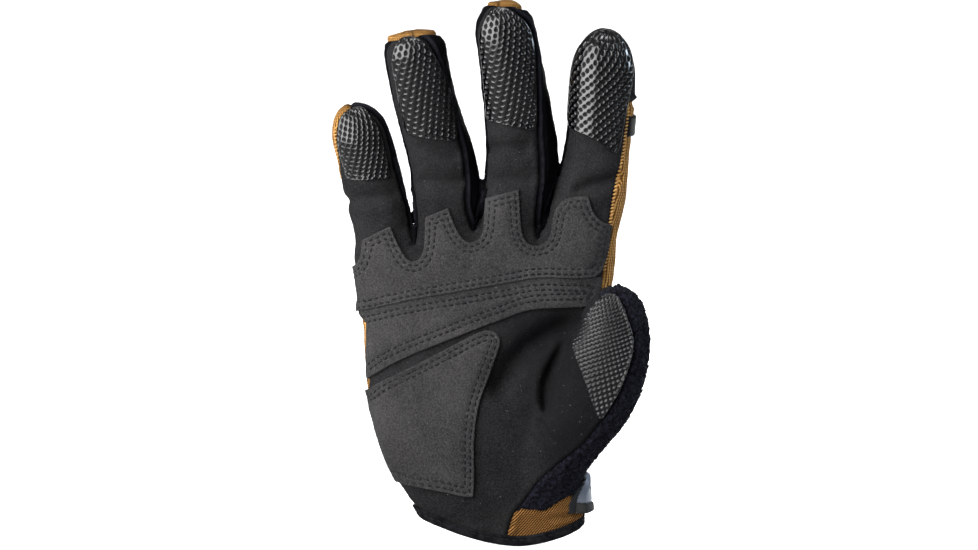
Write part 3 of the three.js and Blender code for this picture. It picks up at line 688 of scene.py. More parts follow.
def border_points(faces, label, kinds=None):
    """The points on edges whose two triangles have different labels, or the two labels that are given."""
    edges = np.sort(faces[:, [0, 1, 1, 2, 2, 0]].reshape(-1, 2), 1)
    of = np.repeat(label, 3)
    order = np.lexsort(edges.T)
    edges, of = edges[order], of[order]
    pair = (edges[1:] == edges[:-1]).all(1) & (of[1:] != of[:-1])
    if kinds is not None:
        pair &= np.isin(of[1:], kinds) & np.isin(of[:-1], kinds)
    return np.unique(edges[1:][pair])


def nearest(points, others):
    """The distance from each point to the nearest of the others, from |a|^2 + |b|^2 - 2ab."""
    size = (others ** 2).sum(1)
    best = [np.sqrt(np.maximum((block ** 2).sum(1)[:, None] + size - 2 * block @ others.T, 0).min(1))
            for block in np.array_split(points, max(1, len(points) // 4000))]
    return np.concatenate(best)


def waves(points, pitch, seed, count=14):
    """Smooth random height, mostly between -1 and 1: the sum of plane waves near one pitch, over the square
    root of their count."""
    random = np.random.default_rng(seed)
    way = random.normal(size=(3, count))
    way *= 2 * np.pi / pitch / np.linalg.norm(way, axis=0) * random.uniform(0.7, 1.4, count)
    return np.cos(points @ way + random.uniform(0, 6.28, count)).sum(1) / np.sqrt(count)


# Seams are pulled in by their thread, and the cloth beside them stands up a little. The stretch cloth is
# rolled along the palm's edge: two soft cords run beside that seam, down into the forks of the fingers.
panel_of = np.argmax(np.stack(list(PANELS.values())), 0)
off_seam = nearest(skin_points, skin_points[border_points(skin_faces, panel_of)])
palm_border = border_points(skin_faces, label, (SUEDE, STRETCH))
off_palm = nearest(skin_points, skin_points[palm_border])
stretchy = np.zeros(len(skin_points))
stretchy[skin_faces[label == STRETCH].ravel()] = 1
stretchy[palm_border] = 0
stretchy *= (skin_points[:, 0] > finger_at(skin_points)[0]) | (skin_points[:, 2] < 146)
cords = stretchy * (bell(off_palm - 1.6, 0.7) + 0.45 * bell(off_palm - 3.9, 0.7))
skin_normals = outward(glove, skin_points)
pull = 0.28 * bell(off_seam - 1.9, 1.0) - 0.75 * bell(off_seam, 0.75)
soft = 0.12 * waves(skin_points, 9, 1) + 0.05 * waves(skin_points, 3.5, 2) - 0.3
x, y, z = skin_points.T
# Corners of the ring and middle fingers' tips, filled out or rounded off, and a nub where a seam ends.
# Each corner is its place in x and z, the square of its reach and its height.
CORNERS = [
    ((-44.5, 207.8), 7, 1.2), ((-21.8, 208.5), 9, -0.8), ((-3.5, 219.5), 9, 1.2), ((10.5, 219.5), 12, -1.4),
]
corner = sum(high * spot(x, z, at, size) for at, size, high in CORNERS)
nub = 1.3 * np.exp(-((z - 183.3) / 0.9) ** 2 - ((x - 55) / 2.5) ** 2)
skin_points = skin_points + skin_normals * (pull + soft + 0.6 * cords + corner + nub)[:, None]


FINGER_RADIUS = 12.5


def cloth_uv(points):
    """Millimetres across and along the ribs of the knit. Over the back of the palm, across is x and turns
    to depth at its sides; on a finger it is the arc round the finger's middle line, counted from its root."""
    x, y, z = points.T
    line_x, line_y = finger_at(points)
    root = np.select([line_x < -30, line_x < -8, line_x < 22], [-45.6, -19.4, 5.2], 33.1)
    on_finger = root + FINGER_RADIUS * np.arctan2(x - line_x, y - line_y)
    side = ramp(np.abs(x + 5), 36, 12)
    on_back = x + np.sign(x + 5) * side * side * (8 - y)
    share = ramp(z, np.where(x > 24, 98, 122), 12)
    return np.stack([on_back * (1 - share) + on_finger * share, z], 1)


class Socket:
    """One output of a node in a material. Arithmetic with numbers and other sockets adds Math nodes."""

    def __init__(self, tree, output=None):
        self.tree, self.output = tree, output

    def node(self, kind, settings=None, out=0, **values):
        """Adds a node: its type, its settings, and a number, colour or Socket for each input, by its name
        or, as i0, i1 and so on, by its place."""
        made = self.tree.nodes.new("ShaderNode" + kind)
        for key, value in (settings or {}).items():
            setattr(made, key, value)
        for key, value in values.items():
            named = not (key[0] == "i" and key[1:].isdigit())
            socket = made.inputs[key.replace("_", " ") if named else int(key[1:])]
            if isinstance(value, Socket):
                self.tree.links.new(value.output, socket)
            else:
                socket.default_value = value
        return Socket(self.tree, made.outputs[out])

    def maths(self, operation, a, b=0.0):
        """The result of one operation on two values."""
        return self.node("Math", {"operation": operation}, i0=a, i1=b)

    def wave(self, operation):
        """The sine or cosine of this, in radians."""
        return self.maths(operation, self)

    def __add__(self, other):
        return self.maths("ADD", self, other)

    def __sub__(self, other):
        return self.maths("SUBTRACT", self, other)

    def __rsub__(self, other):
        return self.maths("SUBTRACT", other, self)

    def __mul__(self, other):
        return self.maths("MULTIPLY", self, other)

    def __truediv__(self, other):
        return self.maths("DIVIDE", self, other)

    __radd__ = __add__
    __rmul__ = __mul__

    def parts(self):
        """This vector's x, y and z."""
        split = self.node("SeparateXYZ", Vector=self).output.node
        return [Socket(self.tree, split.outputs[k]) for k in range(3)]

    def kept(self, name):
        """A value that the mesh keeps for each of its points."""
        return self.node("Attribute", {"attribute_name": name}, 2)

    def smooth(self, low, high):
        """0 below low and 1 above high, with a smooth step between."""
        return self.node("MapRange", {"interpolation_type": "SMOOTHSTEP"}, Value=self, From_Min=low,
                         From_Max=high)

    def mixed(self, a, b):
        """Colour a where this is 0 and colour b where it is 1."""
        return self.node("Mix", {"data_type": "RGBA"}, 2, i0=self, i6=a, i7=b)

    def noise(self, pitch, detail=2.0):
        """A random value round 0.5 that changes over about a pitch in millimetres, for a place in them."""
        return self.node("TexNoise", Vector=self, Scale=1 / pitch, Detail=detail)


def material(name, **constants):
    """A material with constant values on its shader, the shader, and the place in millimetres."""
    made = bpy.data.materials.new(name)
    made.use_nodes = True
    shader = made.node_tree.nodes["Principled BSDF"]
    for key, value in constants.items():
        shader.inputs[key.replace("_", " ")].default_value = value
    place = Socket(made.node_tree).node("TexCoord", out=3)
    return made, shader, place.node("VectorMath", {"operation": "SCALE"}, i0=place, Scale=1000.0)


def finish(shader, height=None, depth=0.0, **sockets):
    """Links sockets to a shader's inputs and, for a height of 0 to 1, a bump of that depth in mm."""
    for key, value in sockets.items():
        value.tree.links.new(value.output, shader.inputs[key.replace("_", " ")])
    if height:
        bump = height.node("Bump", Strength=1.0, Distance=depth / 1000, Height=height)
        height.tree.links.new(bump.output, shader.inputs["Normal"])


def shell(points, normals, faces, thick):
    """A sheet closed to a solid: its faces, the same faces turned over at points moved in along the
    normals by the thickness, and a wall between the two along every edge that only one face has."""
    count = len(points)
    edges = faces[:, [0, 1, 1, 2, 2, 0]].reshape(-1, 2)
    rim = edges[~np.isin(edges @ (count, 1), edges @ (1, count))]
    walls = np.concatenate([np.stack([rim[:, 1], rim[:, 0], rim[:, 0] + count], 1),
                            np.stack([rim[:, 1], rim[:, 0] + count, rim[:, 1] + count], 1)])
    both = np.vstack([points, points - normals * thick])
    return both, np.concatenate([faces, faces[:, ::-1] + count, walls])


def piece(name, points, faces, cloth, replaces=None, uv=None):
    """An object with its material that rides on the glove, in place of the part named by replaces, which it
    hides.
    """
    made = mesh_of(name, points, faces, uv)
    made.data.materials.append(cloth)
    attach(made, "root")
    if replaces:
        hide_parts(replaces)
    return made


def keep_value(made, name, values):
    """Keeps a value for each point on a mesh, under a name that its material reads."""
    made.data.attributes.new(name, "FLOAT", "POINT").data.foreach_set("value", values.astype(np.float32))


def sewn(name, cloth, raised=None, uv_of=cloth_uv):
    """A panel of the skin as a piece with its thickness, in place of the part's node of that name."""
    p, f, n, roll = used(skin_points, skin_faces[PANELS[name]], skin_normals, cords)
    if raised is not None:
        p = p + n * raised(p)[:, None]
    p, f = shell(p, n, f, SKIN)
    keep_value(piece(name + "_cloth", p, f, cloth, name, uv_of(p)), "cord_highlight", np.tile(roll, 2))


# Palm panel: brushed synthetic suede. The nap takes the light unevenly where it has been stroked, and
# pale dust sits in it.
def brushed(name, colour, worn, seed):
    """Suede of one colour, with its stroked patches towards a worn colour, fine nap and specks of dust.
    Towards the root of the thumb it is kept near the base colour, which makes it darker: painted shade."""
    made, shader, place = material(name, Roughness=0.95, Specular_IOR_Level=0.04)
    shifted = place.node("VectorMath", {"operation": "ADD"}, i0=place, i1=(seed * 37.0, 0, 0))
    patch = shifted.noise(26.0, 4.0).smooth(0.3, 0.72)
    nap = shifted.noise(0.62, 3.0)
    dust = shifted.noise(0.9, 1.0).smooth(0.765, 0.80)
    x, _, z = place.parts()
    # Painted shade: the suede is darker towards the thumb side, below the fingers
    painted_shade = (x + z * 0.3).smooth(20, 42) * (1 - z.smooth(90, 102)) * 0.7
    tone = ((patch * 0.35 + nap.smooth(0.3, 0.72) * 0.65) * (1 - painted_shade)).mixed(colour, worn)
    finish(shader, nap, 0.22, Base_Color=(dust * 0.5).mixed(tone, (0.2, 0.2, 0.2, 1)))
    return made


sewn("palm_panel", brushed("palm_suede", (0.0056, 0.0056, 0.0062, 1), (0.0235, 0.023, 0.024, 1), 0))

# Back and cuff flap: tan knit with raised ribs that run up the hand, each a column of small stitches.
RIB = 1.25
RIB_STITCH = 1.15


def knitted(name, dark, light):
    """Tan knit, painted light where rib and stitch both rise and painted shade in the hollows, by a height of
    (1 + cos(2 pi u / rib)) times the same in v.
    """
    made, shader, place = material(name, Roughness=0.85, Specular_IOR_Level=0.08)
    u, v, _ = place.node("UVMap", {"uv_map": "cloth"}).parts()
    rib = 0.5 + 0.5 * (u * (2 * np.pi / RIB)).wave("COSINE")
    stitch = 0.5 + 0.5 * (v * (2 * np.pi / RIB_STITCH)).wave("COSINE")
    height = rib * (0.55 + 0.45 * stitch) + 0.25 * place.noise(0.35)
    # Painted shade and highlight: the colour follows the ribs' height, dark in their hollows and light on top
    tone = height.smooth(0.15, 1.0).mixed(dark, light)
    shade = place.noise(11.0).smooth(0.3, 0.7) * 0.3
    finish(shader, height, 0.3, Base_Color=shade.mixed(tone, dark))
    return made


def flap_uv(points):
    """Across and along the flap's ribs, which rise from the cuff's edge and lean over above 4 mm."""
    over = over_rim(points)
    return np.stack([(points[:, 0] - 0.95 * np.maximum(over - 4, 0)) * 0.98, over * 1.15], 1)


def flap_folds(points):
    """The flap's crimped fold at its left end, a pit in that, and the crease under the pull tab."""
    x, z = points[:, 0], points[:, 2]
    fold, _ = to_line(x, z, [(5.6, 6), (7.4, 12.8), (10.4, 14.6)])
    crease, share = to_line(x, z, [(20, 11), (27, 12), (36, 14.5)])
    crimp = 1 + 0.4 * np.cos((x * 0.4 + z) * 2 * np.pi / 1.7)
    pit = 1.3 * spot(x, z, (6.5, 8.8), 0.5)
    groove = 0.7 * bell(crease - 2.2, 1.1) - 0.9 * bell(crease, 0.9)
    return 0.6 * crimp * bell(fold - 0.9, 0.8) - pit + groove * np.clip(share * 4, 0, 1)


tan_knit = knitted("tan_knit", (0.088, 0.039, 0.0095, 1), (0.54, 0.28, 0.082, 1))
sewn("back_panel", tan_knit)
flap_knit = knitted("flap_knit", (0.022, 0.008, 0.002, 1), (0.4, 0.195, 0.056, 1))
sewn("cuff_flap", flap_knit, flap_folds, flap_uv)

# Gussets: deep black stretch cloth between the fingers, smooth, with hardly any shine.
stretch, shader, place = material("stretch_black", Roughness=0.7, Specular_IOR_Level=0.04)
# Painted highlight: the raised cords are coloured lighter than the black cloth between them
cord_highlight = place.kept("cord_highlight").smooth(0.1, 0.9)
finish(shader, place.noise(0.4), 0.06,
       Base_Color=cord_highlight.mixed((0.0014, 0.0014, 0.0022, 1), (0.0105, 0.0105, 0.014, 1)))
for name in ("gusset_little_ring", "gusset_ring_middle", "gusset_middle_index"):
    sewn(name, stretch)

# Thumb: terry towelling, a ground of soft lumps covered in short bent loops of yarn.
terry, shader, place = material("terry_black", Roughness=0.95, Specular_IOR_Level=0.08, Sheen_Weight=0.03)
tuft = place.noise(1.3, 3.0).smooth(0.35, 0.7)
finish(shader, place.noise(0.7, 3.0), 0.5,
       Base_Color=tuft.mixed((0.002, 0.0021, 0.0038, 1), (0.013, 0.0135, 0.0225, 1)))


def lumps(points):
    """The towelling's ground, in lumps of one to three loops."""
    return 0.2 * waves(points, 2.6, 5) + 0.1 * waves(points, 1.5, 6)


sewn("thumb_terry", terry, lumps)

# Overlays: three pieces of thicker suede laid on the palm, their cut edges left raw and sewn down with
# two rows of dark thread, which pulls small dimples into the suede.
LAYER = 1.2
SHEET_CELL = 0.55
STITCH_PITCH = 2.7
STITCH_LENGTH = 1.9
FAN_RADIUS = 13.0
# Outlines as x and height, where x turns into an arc round the little finger's side of the hand
FINGER_OVERLAY = [
    (-68, 96), (-68, 113), (-57.5, 114), (-55.2, 118.7), (-54.6, 125.2), (-54.6, 125.2), (-43.6, 130.6),
    (-43.6, 130.6), (-41.4, 124.6), (-37.6, 117.4), (-34.2, 115.7), (-30.9, 117.4), (-29.4, 122),
    (-28.8, 134.4), (-28.8, 134.4), (-20, 138), (-20, 138), (-16.7, 128.8), (-13.7, 124.6),
    (-10.8, 123.3), (-6.6, 125.4), (-4.9, 129.6), (-4.1, 142), (-4.1, 142), (8.9, 145.5), (8.9, 145.5),
    (9.5, 129.6), (10.9, 124.6), (14.3, 122.1), (19.3, 122.9), (22.2, 126.2), (23.3, 134.6), (25.6, 140),
    (30.2, 142.4), (37.3, 142.4), (37.3, 142.4), (39, 136), (42.3, 132.4), (46.7, 131.2), (46.7, 131.2),
    (43.4, 110.4), (31.9, 109), (15.9, 109.6), (4.2, 107.2), (-14.2, 103.9), (-39.3, 99.7), (-57, 95.4),
]
BAND_OVERLAY = [
    (-68, 67), (-68, 96.4), (-56.6, 96.4), (-39.3, 100.6), (-14.2, 104.8), (4.2, 108.1), (15.9, 110.4),
    (31.9, 109.8), (42.8, 110), (42.8, 110), (40.8, 98.4), (40.8, 98.4), (36, 97.5), (19.3, 97.1),
    (10.9, 95.9), (2.6, 92.5), (-5.8, 89.6), (-22.6, 82.9), (-39.3, 76.2), (-52.6, 68.3), (-54.5, 67),
]
HEEL_PAD = [
    (-68, 62), (-53.5, 63), (-47.6, 67.2), (-39.3, 71), (-26.7, 77.4), (-14.2, 84), (-7.5, 87.4),
    (-3.3, 88.3), (0, 87), (1.7, 84.1), (0, 78.7), (-5.8, 63.6), (-8.3, 53.6), (-9.5, 41.9), (-9.1, 27.6),
    (-9.6, 20.4), (-9.6, 20.4), (-14.2, 20.6), (-22.6, 22.7), (-35.1, 24.8), (-42, 27), (-68, 30),
]


def leaving(field, start, way, first=9.0, rounds=14):
    """Where rays that start inside a form leave it: each step is as long as the field says."""
    t = np.full(len(start), first)
    for _ in range(rounds):
        t = np.clip(t - field(start + way * t[:, None]), 0.5, 60)
    return start + way * t[:, None]


def arriving(field, start, way, rounds=40):
    """Where rays from outside a form first meet it."""
    t = np.zeros(len(start))
    for _ in range(rounds):
        t = np.clip(t + field(start + way * t[:, None]) * 0.9, 0, 90)
    return start + way * t[:, None]


def on_palm(s, z):
    """The palm's surface at x = s and height z. Left of the fan's centre, s is the length of an arc that
    turns round the side of the hand instead."""
    centre = np.interp(z, [14, 27, 46, 60], [-16, -24, -34, -42])
    turn = np.clip((centre - s) / FAN_RADIUS, 0, 1.75)
    start = np.stack([np.maximum(s, centre), np.zeros_like(s), z], 1)
    return leaving(hand, start, np.stack([-np.sin(turn), -np.cos(turn), np.zeros_like(s)], 1))


def run_of(points):
    """The length along a line of points up to each of them."""
    return np.concatenate([[0], np.cumsum(np.linalg.norm(np.diff(points, axis=0), axis=1))])


def places_on(points, run, at):
    """Places on a line of points, where run says how far along each of the points lies."""
    return np.stack([np.interp(at, run, column) for column in points.T], 1)


def inset_row(outline, inset, pitch, start=0.5):
    """Evenly spaced places on the line that runs inset from an outline."""
    p = np.vstack([outline, outline[:1]])
    length = run_of(p)
    q = places_on(p, length, np.arange(0, length[-1], 0.25))
    way = np.roll(q, -2, 0) - np.roll(q, 2, 0)
    way /= np.maximum(np.hypot(*way.T), 1e-6)[:, None]
    area = np.sum(q[:, 0] * np.roll(q[:, 1], -1) - q[:, 1] * np.roll(q[:, 0], -1))
    q = q + np.sign(area) * np.stack([-way[:, 1], way[:, 0]], 1) * inset
    kept = beyond(q[:, 0], q[:, 1], outline) < -inset + 0.12
    q = q[kept]
    run = run_of(q)
    return places_on(q, run, np.arange(start * pitch, run[-1], pitch))


def threads(name, cloth, centres, ways, ups, length, width, height, around=6, along=4):
    """Rounded threads lying on a surface as one piece: each is a half sunk capsule of the given length
    along its way, laid flat on the surface with the normals ups, with its ends bent down."""
    ways = ways - ups * (ways * ups).sum(1)[:, None]
    ways /= np.linalg.norm(ways, axis=1)[:, None]
    turn = np.arange(around) * 2 * np.pi / around
    run = np.linspace(-1, 1, along)
    thick = np.sqrt(1 - (run * 0.85) ** 2)
    a = np.repeat(run * length / 2, around)
    b = np.outer(thick, np.cos(turn)).ravel() * width / 2
    c = np.outer(thick, np.sin(turn)).ravel() * height / 2 - 0.22 * height * np.repeat(run ** 2, around)
    sides = np.cross(ups, ways)
    p = (centres[:, None] + a[:, None] * ways[:, None] + b[:, None] * sides[:, None]
         + c[:, None] * ups[:, None])
    ring_faces = grid_faces(along, around, round_columns=True)
    fan = np.arange(1, around - 1)
    lids = np.concatenate([np.stack([0 * fan, fan + 1, fan], 1),
                           np.stack([0 * fan, fan, fan + 1], 1) + (along - 1) * around])
    one = np.concatenate([ring_faces[:, ::-1], lids])
    faces = (one[None] + np.arange(len(centres))[:, None, None] * along * around).reshape(-1, 3)
    piece(name, p.reshape(-1, 3), faces, cloth)


def laid(points, faces, inside, levels, cell):
    """The part of a mesh where a function is positive, with points along each of the given levels."""
    held = np.zeros(len(points), bool)
    for level in levels:
        points, faces, held = seamed(points, faces, lambda p: inside(p) - level, cell, held)
    return used(points, faces[inside(points[faces].mean(1)) > 0])


def cut_edge(depth, thick, soft=0.45):
    """The height of a layer at a depth in from its edge: below the surface at the edge itself, nearly all
    of its thickness a hair further in, and the rest over a soft rounding."""
    return np.where(depth < 0.012, -0.35, thick * (0.72 + 0.28 * quarter_round(depth, soft)))


thread, shader, place = material("thread_black", Base_Color=(0.005, 0.005, 0.0065, 1), Roughness=0.6,
                                 Specular_IOR_Level=0.2)
finish(shader, place.noise(0.25), 0.1)


def overlay(name, outline, rows, cloth, raise_at=None):
    """An overlay and its stitches: rows lists the insets of the stitch rows. Where it laps over another
    overlay, raise_at gives its lift from a point's place."""
    outline = rounded(outline, 2)
    low, high = outline.min(0) - 1, outline.max(0) + 1
    s = np.arange(max(low[0], -64), high[0], SHEET_CELL)
    z = np.arange(low[1], high[1], SHEET_CELL)
    sheet = on_palm(np.tile(s, len(z)), np.repeat(z, len(s)))

    def inside(p):
        return np.minimum(-beyond(p[:, 0], p[:, 2], outline), -behind_seam(p) - 0.4)

    p, f = laid(sheet, grid_faces(len(z), len(s)), inside, [0, 0.02, 0.2, 0.5], SHEET_CELL)
    up = outward(hand, p)
    depth = inside(p)
    spots = np.vstack([inset_row(outline, row, STITCH_PITCH, 0.5 + 0.5 * (k % 2))
                       for k, row in enumerate(rows)])
    seat = on_palm(*spots.T)
    spots, seat = [v[inside(seat) > 1.2] for v in (spots, seat)]
    puckers = 0.4 * bell(nearest(p, seat), 1.0)
    rows_dip = sum(0.10 * bell(depth - row, 0.8) for row in rows)
    swell = 0.10 * waves(p, 7, 11) + 0.04 * waves(p, 2.4, 12)
    height = cut_edge(depth, LAYER) + (swell - puckers - rows_dip) * (depth > 0.1)
    if raise_at:
        height = height + raise_at(p)
    piece(name + "_suede", p + up * height[:, None], f, cloth, name)
    edge_way = stitch_ways(spots, outline, rows)
    up = outward(hand, seat)
    way = np.stack([edge_way[:, 0], np.zeros(len(spots)), edge_way[:, 1]], 1)
    lift = LAYER - 0.26 + (raise_at(seat) if raise_at else 0)
    threads(name + "_stitches", thread, seat + up * np.reshape(lift, (-1, 1)), way, up,
            STITCH_LENGTH, 0.85, 0.6)


def stitch_ways(spots, outline, rows):
    """The direction of a row at each of its stitches, across the slope of the distance to the outline."""
    reach = 0.2
    x, z = spots.T
    gx = beyond(x + reach, z, outline) - beyond(x - reach, z, outline)
    gz = beyond(x, z + reach, outline) - beyond(x, z - reach, outline)
    return np.stack([-gz, gx], 1) / np.maximum(np.hypot(gx, gz), 1e-6)[:, None]


overlay_suede = brushed("overlay_suede", (0.0158, 0.0153, 0.016, 1), (0.0555, 0.0535, 0.0535, 1), 1)
overlay("band_overlay", BAND_OVERLAY, (3.4, 5.6), overlay_suede)
overlay("heel_pad", HEEL_PAD, (1.8, 3.9), overlay_suede)


def over_band(points):
    """The finger overlay's lower edge lies on the band overlay, 1.1 mm up, and comes down within 5 mm."""
    edge = np.interp(points[:, 0], [-57, -39.3, -14.2, 4.2, 15.9, 31.9],
                     [95.4, 99.7, 103.9, 107.2, 109.6, 109])
    return 1.1 * eased(np.clip(1 - (points[:, 2] - edge - 1.5) / 4, 0, 1))


overlay("finger_overlay", FINGER_OVERLAY, (1.7, 3.8), overlay_suede, over_band)

# The loops of the towelling: short bent tufts of yarn, scattered, that lie mostly up and down the thumb.
LOOPS = 5200
random = np.random.default_rng(8)
p, f, n = used(skin_points, skin_faces[PANELS["thumb_terry"]], skin_normals)
size = np.linalg.norm(areas_of(p, f), axis=1)
picked = random.choice(len(f), LOOPS, p=size / size.sum())
share = np.sort(random.random((LOOPS, 2)), 1)
share = np.stack([share[:, 0], share[:, 1] - share[:, 0], 1 - share[:, 1]], 1)
seat = (p[f[picked]] * share[..., None]).sum(1)
up = (n[f[picked]] * share[..., None]).sum(1)
up += random.normal(0, 0.25, up.shape)
up /= np.linalg.norm(up, axis=1)[:, None]
way = np.array([0.25, 0, 1.0]) + random.normal(0, 0.45, up.shape)
threads("thumb_terry_loops", terry, seat + up * lumps(seat)[:, None], way, up, 1.5, 0.5, 0.6, 4, 3)

# The knit's edge beside the palm on the outer sides of the index and little fingers is overcast with tan
# yarn, which shows as a column of bright dots.
yarn, shader, place = material("yarn_tan", Base_Color=(0.55, 0.3, 0.1, 1), Roughness=0.7,
                               Specular_IOR_Level=0.1)
finish(shader, place.noise(0.3), 0.1)
edge = skin_points[border_points(skin_faces, label, (SUEDE, KNIT))]
dots = []
for low, high, side in ((112, 181, 1), (150, 172, -1)):
    line = edge[(edge[:, 2] > low) & (edge[:, 2] < high) & (edge[:, 0] * side > 40) & (edge[:, 1] < 4)]
    line = line[np.argsort(line[:, 2])]
    dots.append(places_on(line, line[:, 2], np.arange(low + 1, high - 1, 1.4)))
dots = np.vstack(dots)
up = outward(glove, dots)
way = np.stack([-up[:, 1], up[:, 0], 0.35 + 0 * up[:, 0]], 1)
threads("back_panel_overcast", yarn, dots + up * 0.85, way, up, 1.7, 0.85, 1.0)

# Grip prints: glossy black film moulded on the finger pads and pierced by a lattice of round holes, each
# down to the suede. The film rises in a rounded slope from each hole's edge and lies flat between the holes,
# so each hole's edge catches the light.
PRINT = 0.8
PRINT_CELL = 0.28
HOLE = 0.72
# Each print's finger, where its tip's dome and the print begin, the two steps of its lattice of holes, and
# its outline in x and height
GRIPS = {
    "grip_little": {
        "course": little, "dome": 165, "low": 146, "ways": ((2.25, -0.75), (-0.75, -1.77)),
        "outline": [
            (-55.8, 179.4), (-60.7, 177.9), (-64, 174.3), (-65.1, 169.3), (-64.2, 161), (-62.4, 155),
            (-61.3, 150.2), (-57.5, 149), (-50, 149.4), (-43.6, 149.7), (-44, 154.2), (-45.4, 160),
            (-46.7, 166), (-48.2, 171), (-52.2, 176.9)]},
    "grip_ring": {
        "course": ring, "dome": 196, "low": 162, "ways": ((2.2, -1.4), (-0.8, -2.1)),
        "outline": [
            (-36.5, 207.6), (-40.4, 205), (-42.6, 199.3), (-41.8, 192.3), (-39.8, 182.4), (-38.1, 174.2),
            (-36.7, 168), (-31.6, 166.6), (-24.2, 165.6), (-15.6, 164.6), (-17.4, 175.1), (-19.7, 187.8),
            (-24.2, 198), (-29.9, 205.4)]},
    "grip_middle": {
        "course": middle, "dome": 206, "low": 166, "ways": ((2.16, -1.58), (-0.72, -2.16)),
        "outline": [
            (1.2, 219.4), (-3.3, 217), (-6.3, 210.6), (-7.2, 205), (-6.2, 198.8), (-5, 186.5),
            (-4.2, 178.3), (-4, 173.6), (3.3, 171.6), (9.4, 169.9), (16.2, 169), (15.9, 183.3),
            (15.2, 198.8), (14.4, 207), (11.5, 212.8), (7, 216.9)]},
    "grip_index": {
        "course": index, "dome": 190, "low": 156, "ways": ((2.05, -1.7), (-1.54, -1.54)),
        "outline": [
            (43.8, 210.8), (38.2, 208.6), (33.2, 203.6), (30.6, 196.4), (29.4, 184.5), (28.8, 171.8),
            (32.8, 168.9), (38.7, 166.5), (43.5, 162.8), (49.4, 158.6), (51.8, 174.5), (54, 184.5),
            (55.4, 194.8), (54.2, 202.6), (50, 208.4)]},
}


def every(heights, turns):
    """Each height with each turn, row after row."""
    return np.repeat(heights, len(turns)), np.tile(turns, len(heights))


def around(c, field, s, angle, dome=999.0):
    """Points where rays from a course's middle line at height s leave a form. The angle turns from the
    palm side towards the thumb side; above the height dome the rays fan out towards the tip."""
    row = row_at(c, np.minimum(s, dome))
    lift = np.clip((s - dome) / row[:, 4], 0, 1.5)[:, None]
    angle = angle[:, None]
    flat = np.cos(angle) * row[:, FRONT] + np.sin(angle) * row[:, SIDE]
    return leaving(field, row[:, :3], np.cos(lift) * flat + np.sin(lift) * row[:, ALONG])


def wrapped(c, field, s, turn, dome=999.0):
    """A grid of the points where rays at each height with each turn leave a form, its faces, and the
    points' heights and turns."""
    s_all, turn_all = every(s, turn)
    return around(c, field, s_all, turn_all, dome), grid_faces(len(s), len(turn)), s_all, turn_all


def to_lattice(u, v, first, second, slant=0.0, slender=1.0):
    """The distance from points to the nearest point of the lattice with the given two steps. It is measured
    along a slant in radians, where it counts once, and across it, where it counts slender times."""
    steps = np.array([first, second]).T
    share = np.linalg.solve(steps, np.stack([u, v]))
    best = np.full(len(u), 9.0)
    for a in (0, 1):
        for b in (0, 1):
            at_u, at_v = steps @ (np.floor(share) + np.array([[a], [b]]))
            along = (u - at_u) * np.cos(slant) + (v - at_v) * np.sin(slant)
            across = (v - at_v) * np.cos(slant) - (u - at_u) * np.sin(slant)
            best = np.minimum(best, np.hypot(along, across * slender))
    return best


def printed(name, dull, shiny, bare):
    """Film and bare suede in one material, told apart by the mesh's film value, 1 or 0."""
    made, shader, place = material(name, Specular_IOR_Level=0.6)
    film = place.kept("film").smooth(0.35, 0.75)
    wear = place.noise(6.0, 3.0)
    finish(shader, place.noise(0.3) * (1 - film), 0.12, Base_Color=film.mixed(bare, shiny),
           Roughness=film * (dull - 0.9) + 0.9 + wear * 0.06)
    return made


def unrolled(points, c, dome):
    """The arc round a course and the height along it of points on its surface, as around() lays them."""
    top = c["table"][int((dome - c["low"]) / c["step"])]
    over = (points - top[:3]) @ top[ALONG] > 0
    row = np.where(over[:, None], top, station(points, c)[0])
    d = points - row[:, :3]
    ahead, side, front = [(d * row[:, part]).sum(1) for part in (ALONG, SIDE, FRONT)]
    lift = np.where(over, np.arctan2(ahead, np.hypot(side, front)), 0)
    return np.arctan2(side, front) * FINGER_RADIUS, row[:, 2] + lift * top[4]


grip_film = printed("grip_film", 0.1, (0.001, 0.001, 0.0014, 1), (0.0016, 0.0016, 0.002, 1))
for name, grip in GRIPS.items():
    c, outline = grip["course"], rounded(grip["outline"], 2)
    s = np.arange(grip["low"], grip["dome"] + 1.5 * c["table"][-30, 4] + 2, PRINT_CELL)
    turn = np.arange(-1.72, 1.72, PRINT_CELL / FINGER_RADIUS)
    round_side = {"grip_little": 0.8, "grip_index": 3.4}.get(name, -0.4)

    def inside(p):
        return np.minimum(-beyond(p[:, 0], p[:, 2], outline), round_side - side_wall(p))

    p, f, _, _ = wrapped(c, hand, s, turn, grip["dome"])
    p, f = laid(p, f, inside, [0, 0.02, 0.3], PRINT_CELL)
    edge = inside(p)
    hole = to_lattice(*unrolled(p, c, grip["dome"]), *grip["ways"])
    film = ramp(hole, HOLE * 0.78, HOLE * 0.36)
    film = np.where(edge < 0.6, 1, eased(film))
    height = cut_edge(edge, PRINT, 0.35)
    height = np.where(edge < 0.012, height, 0.1 + (height - 0.1) * film)
    made = piece(name + "_print", p + outward(hand, p) * height[:, None], f, grip_film, name)
    keep_value(made, "film", film)

# Thumb print: a leaf of half glossy film with rows of small raised dashes that climb to the right, larger
# towards the root of the thumb.
THUMB_LEAF = [
    (47.8, 103.6), (50.8, 98.3), (54.1, 89.2), (55, 82.8), (53.8, 75.8), (50, 65.2), (44.7, 56), (41.3, 51.4),
    (38.5, 58.4), (34.2, 70.6), (29.6, 82.6), (31.2, 87.4), (38, 98), (42.8, 103),
]
LEAF_MIDDLE = 43
leaf = rounded(THUMB_LEAF, 2)
x = np.arange(28, 58, PRINT_CELL)
z = np.arange(50, 106, PRINT_CELL)
grid_z, grid_x = every(z, x)
start = np.stack([grid_x, np.full_like(grid_x, -70), grid_z], 1)
p = arriving(glove, start, np.array([0, 1.0, 0]))
f = grid_faces(len(z), len(x))
edge = -beyond(p[:, 0], p[:, 2], leaf)
